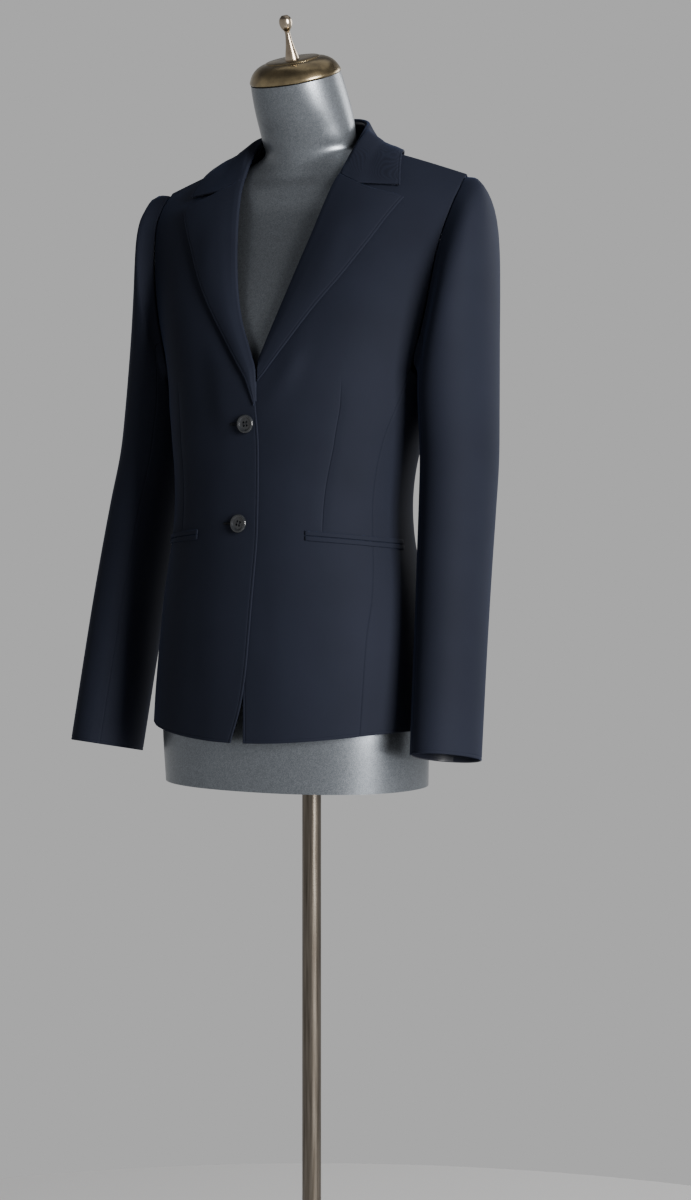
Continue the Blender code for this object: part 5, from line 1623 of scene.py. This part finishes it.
def noise(tree, coordinates, scale, detail=3.0, stretch=None):
    """A noise texture in metres, stretched along the axes where stretch is given."""
    source = coordinates
    if stretch:
        mapping = tree.nodes.new("ShaderNodeMapping")
        mapping.inputs["Scale"].default_value = stretch
        tree.links.new(coordinates, mapping.inputs["Vector"])
        source = mapping.outputs["Vector"]
    texture = tree.nodes.new("ShaderNodeTexNoise")
    texture.inputs["Scale"].default_value = scale
    texture.inputs["Detail"].default_value = detail
    tree.links.new(source, texture.inputs["Vector"])
    return texture.outputs["Fac"]


def ramp(tree, value, *stops):
    """A colour ramp; each stop is (place, colour)."""
    made = tree.nodes.new("ShaderNodeValToRGB")
    for element, (place, colour) in zip(made.color_ramp.elements, stops):
        element.position = place
        element.color = (*colour, 1.0)
    tree.links.new(value, made.inputs["Fac"])
    return made.outputs["Color"]


def bump(tree, shader, heights):
    """Chained bumps; each height is (value, strength, distance)."""
    last = None
    for value, strength, distance in heights:
        made = tree.nodes.new("ShaderNodeBump")
        made.inputs["Strength"].default_value = strength
        made.inputs["Distance"].default_value = distance
        tree.links.new(value, made.inputs["Height"])
        if last:
            tree.links.new(last, made.inputs["Normal"])
        last = made.outputs["Normal"]
    tree.links.new(last, shader.inputs["Normal"])


def multiplied(tree, colour, other, factor):
    blend = tree.nodes.new("ShaderNodeMix")
    blend.data_type = "RGBA"
    blend.blend_type = "MULTIPLY"
    blend.inputs["Factor"].default_value = factor
    tree.links.new(colour, blend.inputs["A"])
    tree.links.new(other, blend.inputs["B"])
    return blend.outputs["Result"]


def object_coordinates(tree):
    return tree.nodes.new("ShaderNodeTexCoord").outputs["Object"]


def plain(name, colour, roughness, specular, grain, strength):
    """One colour with a fine grain, given by its scale and strength."""
    made, tree, shader = finish_of(name, colour, roughness, Specular_IOR_Level=specular)
    bump(tree, shader, ((noise(tree, object_coordinates(tree), grain, 2.0), strength, 0.0001),))
    return made


def wool():
    """Fine worsted twill: diagonal ribs on the cloth's own grain, and a soft sheen."""
    made, tree, shader = finish_of(
        "navy_wool", (0.012, 0.016, 0.028), 0.78, Specular_IOR_Level=0.10,
        Sheen_Weight=0.06, Sheen_Roughness=0.35, Sheen_Tint=(0.30, 0.45, 1.0, 1.0))
    place = object_coordinates(tree)
    grain = tree.nodes.new("ShaderNodeUVMap")
    grain.uv_map = "cloth"
    mapping = tree.nodes.new("ShaderNodeMapping")
    mapping.inputs["Rotation"].default_value = (0.0, 0.0, math.radians(63.0))
    tree.links.new(grain.outputs["UV"], mapping.inputs["Vector"])
    twill = tree.nodes.new("ShaderNodeTexWave")
    twill.inputs["Scale"].default_value = 430.0
    twill.inputs["Distortion"].default_value = 1.2
    twill.inputs["Detail"].default_value = 2.0
    twill.inputs["Detail Scale"].default_value = 2.0
    tree.links.new(mapping.outputs["Vector"], twill.inputs["Vector"])
    fibres = noise(tree, place, 1700.0, 2.0)
    cloudy = noise(tree, place, 9.0, 3.0)
    dark = (0.0073, 0.0089, 0.0156)
    light = (0.0094, 0.0114, 0.0200)
    base = ramp(tree, cloudy, (0.30, dark), (0.72, light))
    ribs = ramp(tree, twill.outputs["Fac"], (0.0, (0.55,) * 3), (1.0, (1.25,) * 3))
    tree.links.new(multiplied(tree, base, ribs, 0.45), shader.inputs["Base Color"])
    bump(tree, shader, ((twill.outputs["Fac"], 0.22, 0.00012), (fibres, 0.20, 0.0001)))
    return made


def horn():
    """Dark polished imitation horn with faint streaks."""
    made, tree, shader = finish_of("dark_horn", (0.012, 0.013, 0.015), 0.20,
                                   Specular_IOR_Level=0.50, Coat_Weight=0.35,
                                   Coat_Roughness=0.12)
    streaks = noise(tree, object_coordinates(tree), 260.0, 3.0, (1.0, 1.0, 0.35))
    tree.links.new(ramp(tree, streaks, (0.35, (0.009, 0.010, 0.012)),
                        (0.70, (0.020, 0.022, 0.025))), shader.inputs["Base Color"])
    return made


def cover():
    """The form's pale grey cover, with a fine glitter."""
    made, tree, shader = finish_of("grey_glitter_cover", (0.15, 0.16, 0.17), 0.34, Metallic=0.80,
                                   Specular_IOR_Level=0.4)
    place = object_coordinates(tree)
    cells = tree.nodes.new("ShaderNodeTexVoronoi")
    cells.inputs["Scale"].default_value = 1900.0
    tree.links.new(place, cells.inputs["Vector"])
    flakes = ramp(tree, cells.outputs["Color"],
                  (0.0, (0.095, 0.105, 0.118)), (1.0, (0.220, 0.240, 0.265)))
    soft = ramp(tree, noise(tree, place, 300.0, 4.0), (0.30, (0.92,) * 3), (0.72, (1.07,) * 3))
    tree.links.new(multiplied(tree, flakes, soft, 1.0), shader.inputs["Base Color"])
    bump(tree, shader, ((cells.outputs["Distance"], 0.12, 0.0002),
                        (noise(tree, place, 900.0, 3.0), 0.12, 0.0002)))
    return made


def brass(name, light, dark, roughness):
    """Aged brass, darker in cloudy patches, with fine turning marks."""
    made, tree, shader = finish_of(name, light, roughness, Metallic=1.0)
    place = object_coordinates(tree)
    tree.links.new(ramp(tree, noise(tree, place, 70.0, 5.0), (0.32, dark), (0.62, light)),
                   shader.inputs["Base Color"])
    marks = noise(tree, place, 60.0, 2.0, (1.0, 1.0, 40.0))
    bump(tree, shader, ((marks, 0.05, 0.0001), (noise(tree, place, 900.0, 2.0), 0.05, 0.0001)))
    return made


def bronze():
    """Brushed dark bronze, the marks running up the pole."""
    made, tree, shader = finish_of("dark_bronze", (0.12, 0.10, 0.08), 0.34, Metallic=1.0)
    place = object_coordinates(tree)
    streaks = noise(tree, place, 420.0, 4.0, (1.0, 1.0, 0.03))
    tree.links.new(ramp(tree, streaks, (0.30, (0.085, 0.072, 0.058)), (0.70, (0.20, 0.175, 0.145))),
                   shader.inputs["Base Color"])
    bump(tree, shader, ((streaks, 0.10, 0.0001),))
    return made


def make_finishes():
    LIVERY["wool"] = wool()
    LIVERY["lining"] = plain("navy_lining", (0.010, 0.012, 0.022), 0.38, 0.45, 900.0, 0.10)
    LIVERY["thread"] = plain("navy_thread", (0.0035, 0.0042, 0.0070), 0.70, 0.15, 4000.0, 0.3)
    # painted shade: the near-black sheet in each buttonhole's slit
    LIVERY["slit"] = plain("slit_shadow", (0.003, 0.0035, 0.005), 0.90, 0.5, 2500.0, 0.2)
    LIVERY["horn"] = horn()
    LIVERY["cover"] = cover()
    LIVERY["brass"] = brass("aged_brass", (0.33, 0.26, 0.15), (0.17, 0.135, 0.085), 0.27)
    LIVERY["finial"] = brass("aged_brass_bright", (0.46, 0.39, 0.30), (0.26, 0.21, 0.16), 0.22)
    LIVERY["bronze"] = bronze()


# ---------------------------------------------------------------- camera, light and floor
LENS = 82.86              # on a 36 mm long side
CAMERA_PLACE = Vector((1.537, -2.459, 1.014))
CAMERA_AZIMUTH = 32.0      # degrees round from the front, looking level
CAMERA_SHIFT = (0.0279, -0.1000)     # the photo's own framing, off its middle

Lamp = namedtuple("Lamp", "name place aim width height power colour")
LAMPS = [
    Lamp("key", (3.15, -1.25, 1.6), (0.0, 0.0, 1.05), 1.1, 1.9, 300.0, (1.0, 0.985, 0.97)),
    Lamp("top", (0.2, 0.3, 3.2), (0.0, 0.0, 1.2), 2.0, 2.0, 6.0, (1.0, 1.0, 1.0)),
    Lamp("back", (1.0, 3.0, 2.0), (0.0, 0.0, 1.1), 1.6, 1.6, 45.0, (1.0, 1.0, 1.0)),
]
FLOOR_RADIUS = 1.2
FLOOR_THICK = 0.02
WORLD_STRENGTH = 0.76
WORLD_LOW = (0.62, 0.62, 0.62)       # up to the horizon and a little over it
WORLD_HIGH = (0.16, 0.16, 0.165)     # overhead, so that shoulders stay dark
HORIZON = (0.22, 0.60)               # where the one ends and the other begins


def set_camera():
    data = bpy.data.cameras.new("camera")
    data.lens = LENS
    data.sensor_width = 36.0
    data.shift_x, data.shift_y = CAMERA_SHIFT
    data.clip_start = 0.05
    data.clip_end = 50.0
    camera = bpy.data.objects.new("camera", data)
    bpy.context.scene.collection.objects.link(camera)
    camera.location = CAMERA_PLACE
    camera.rotation_euler = (math.radians(90.0), 0.0, math.radians(CAMERA_AZIMUTH))
    bpy.context.scene.camera = camera


def set_lights():
    for lamp in LAMPS:
        data = bpy.data.lights.new(lamp.name, "AREA")
        data.shape = "RECTANGLE"
        data.size = lamp.width
        data.size_y = lamp.height
        data.energy = lamp.power
        data.color = lamp.colour
        made = bpy.data.objects.new(lamp.name, data)
        bpy.context.scene.collection.objects.link(made)
        made.location = lamp.place
        toward = Vector(lamp.aim) - Vector(lamp.place)
        made.rotation_euler = toward.to_track_quat("-Z", "Y").to_euler()
    world = bpy.data.worlds.new("studio")
    bpy.context.scene.world = world
    world.use_nodes = True
    tree = world.node_tree
    sky = tree.nodes["Background"]
    sky.inputs["Strength"].default_value = WORLD_STRENGTH
    parts = tree.nodes.new("ShaderNodeSeparateXYZ")
    tree.links.new(tree.nodes.new("ShaderNodeTexCoord").outputs["Generated"], parts.inputs[0])
    tree.links.new(ramp(tree, parts.outputs["Z"], (HORIZON[0], WORLD_LOW), (HORIZON[1], WORLD_HIGH)),
                   sky.inputs["Color"])


def set_floor():
    verts, faces = lathe([(0.0, -FLOOR_THICK), (FLOOR_RADIUS, -FLOOR_THICK), (FLOOR_RADIUS, 0.0),
                          (0.0, 0.0)], 96)
    mesh = bpy.data.meshes.new("floor")
    mesh.from_pydata(verts, [], faces)
    made, tree, shader = finish_of("pale_floor", (0.60, 0.60, 0.60), 0.75)
    bump(tree, shader, ((noise(tree, object_coordinates(tree), 60.0, 4.0), 0.08, 0.0005),))
    mesh.materials.append(made)
    floor = bpy.data.objects.new("floor", mesh)
    bpy.context.scene.collection.objects.link(floor)


# ---------------------------------------------------------------- the whole scene
def main():
    set_camera()
    set_lights()
    set_floor()
    make_finishes()
    body = build_body()
    build_sleeves()
    build_lapels_and_collar(body)
    build_pockets()
    build_buttons(body)
    build_form()
    build_metal_stand()


main()
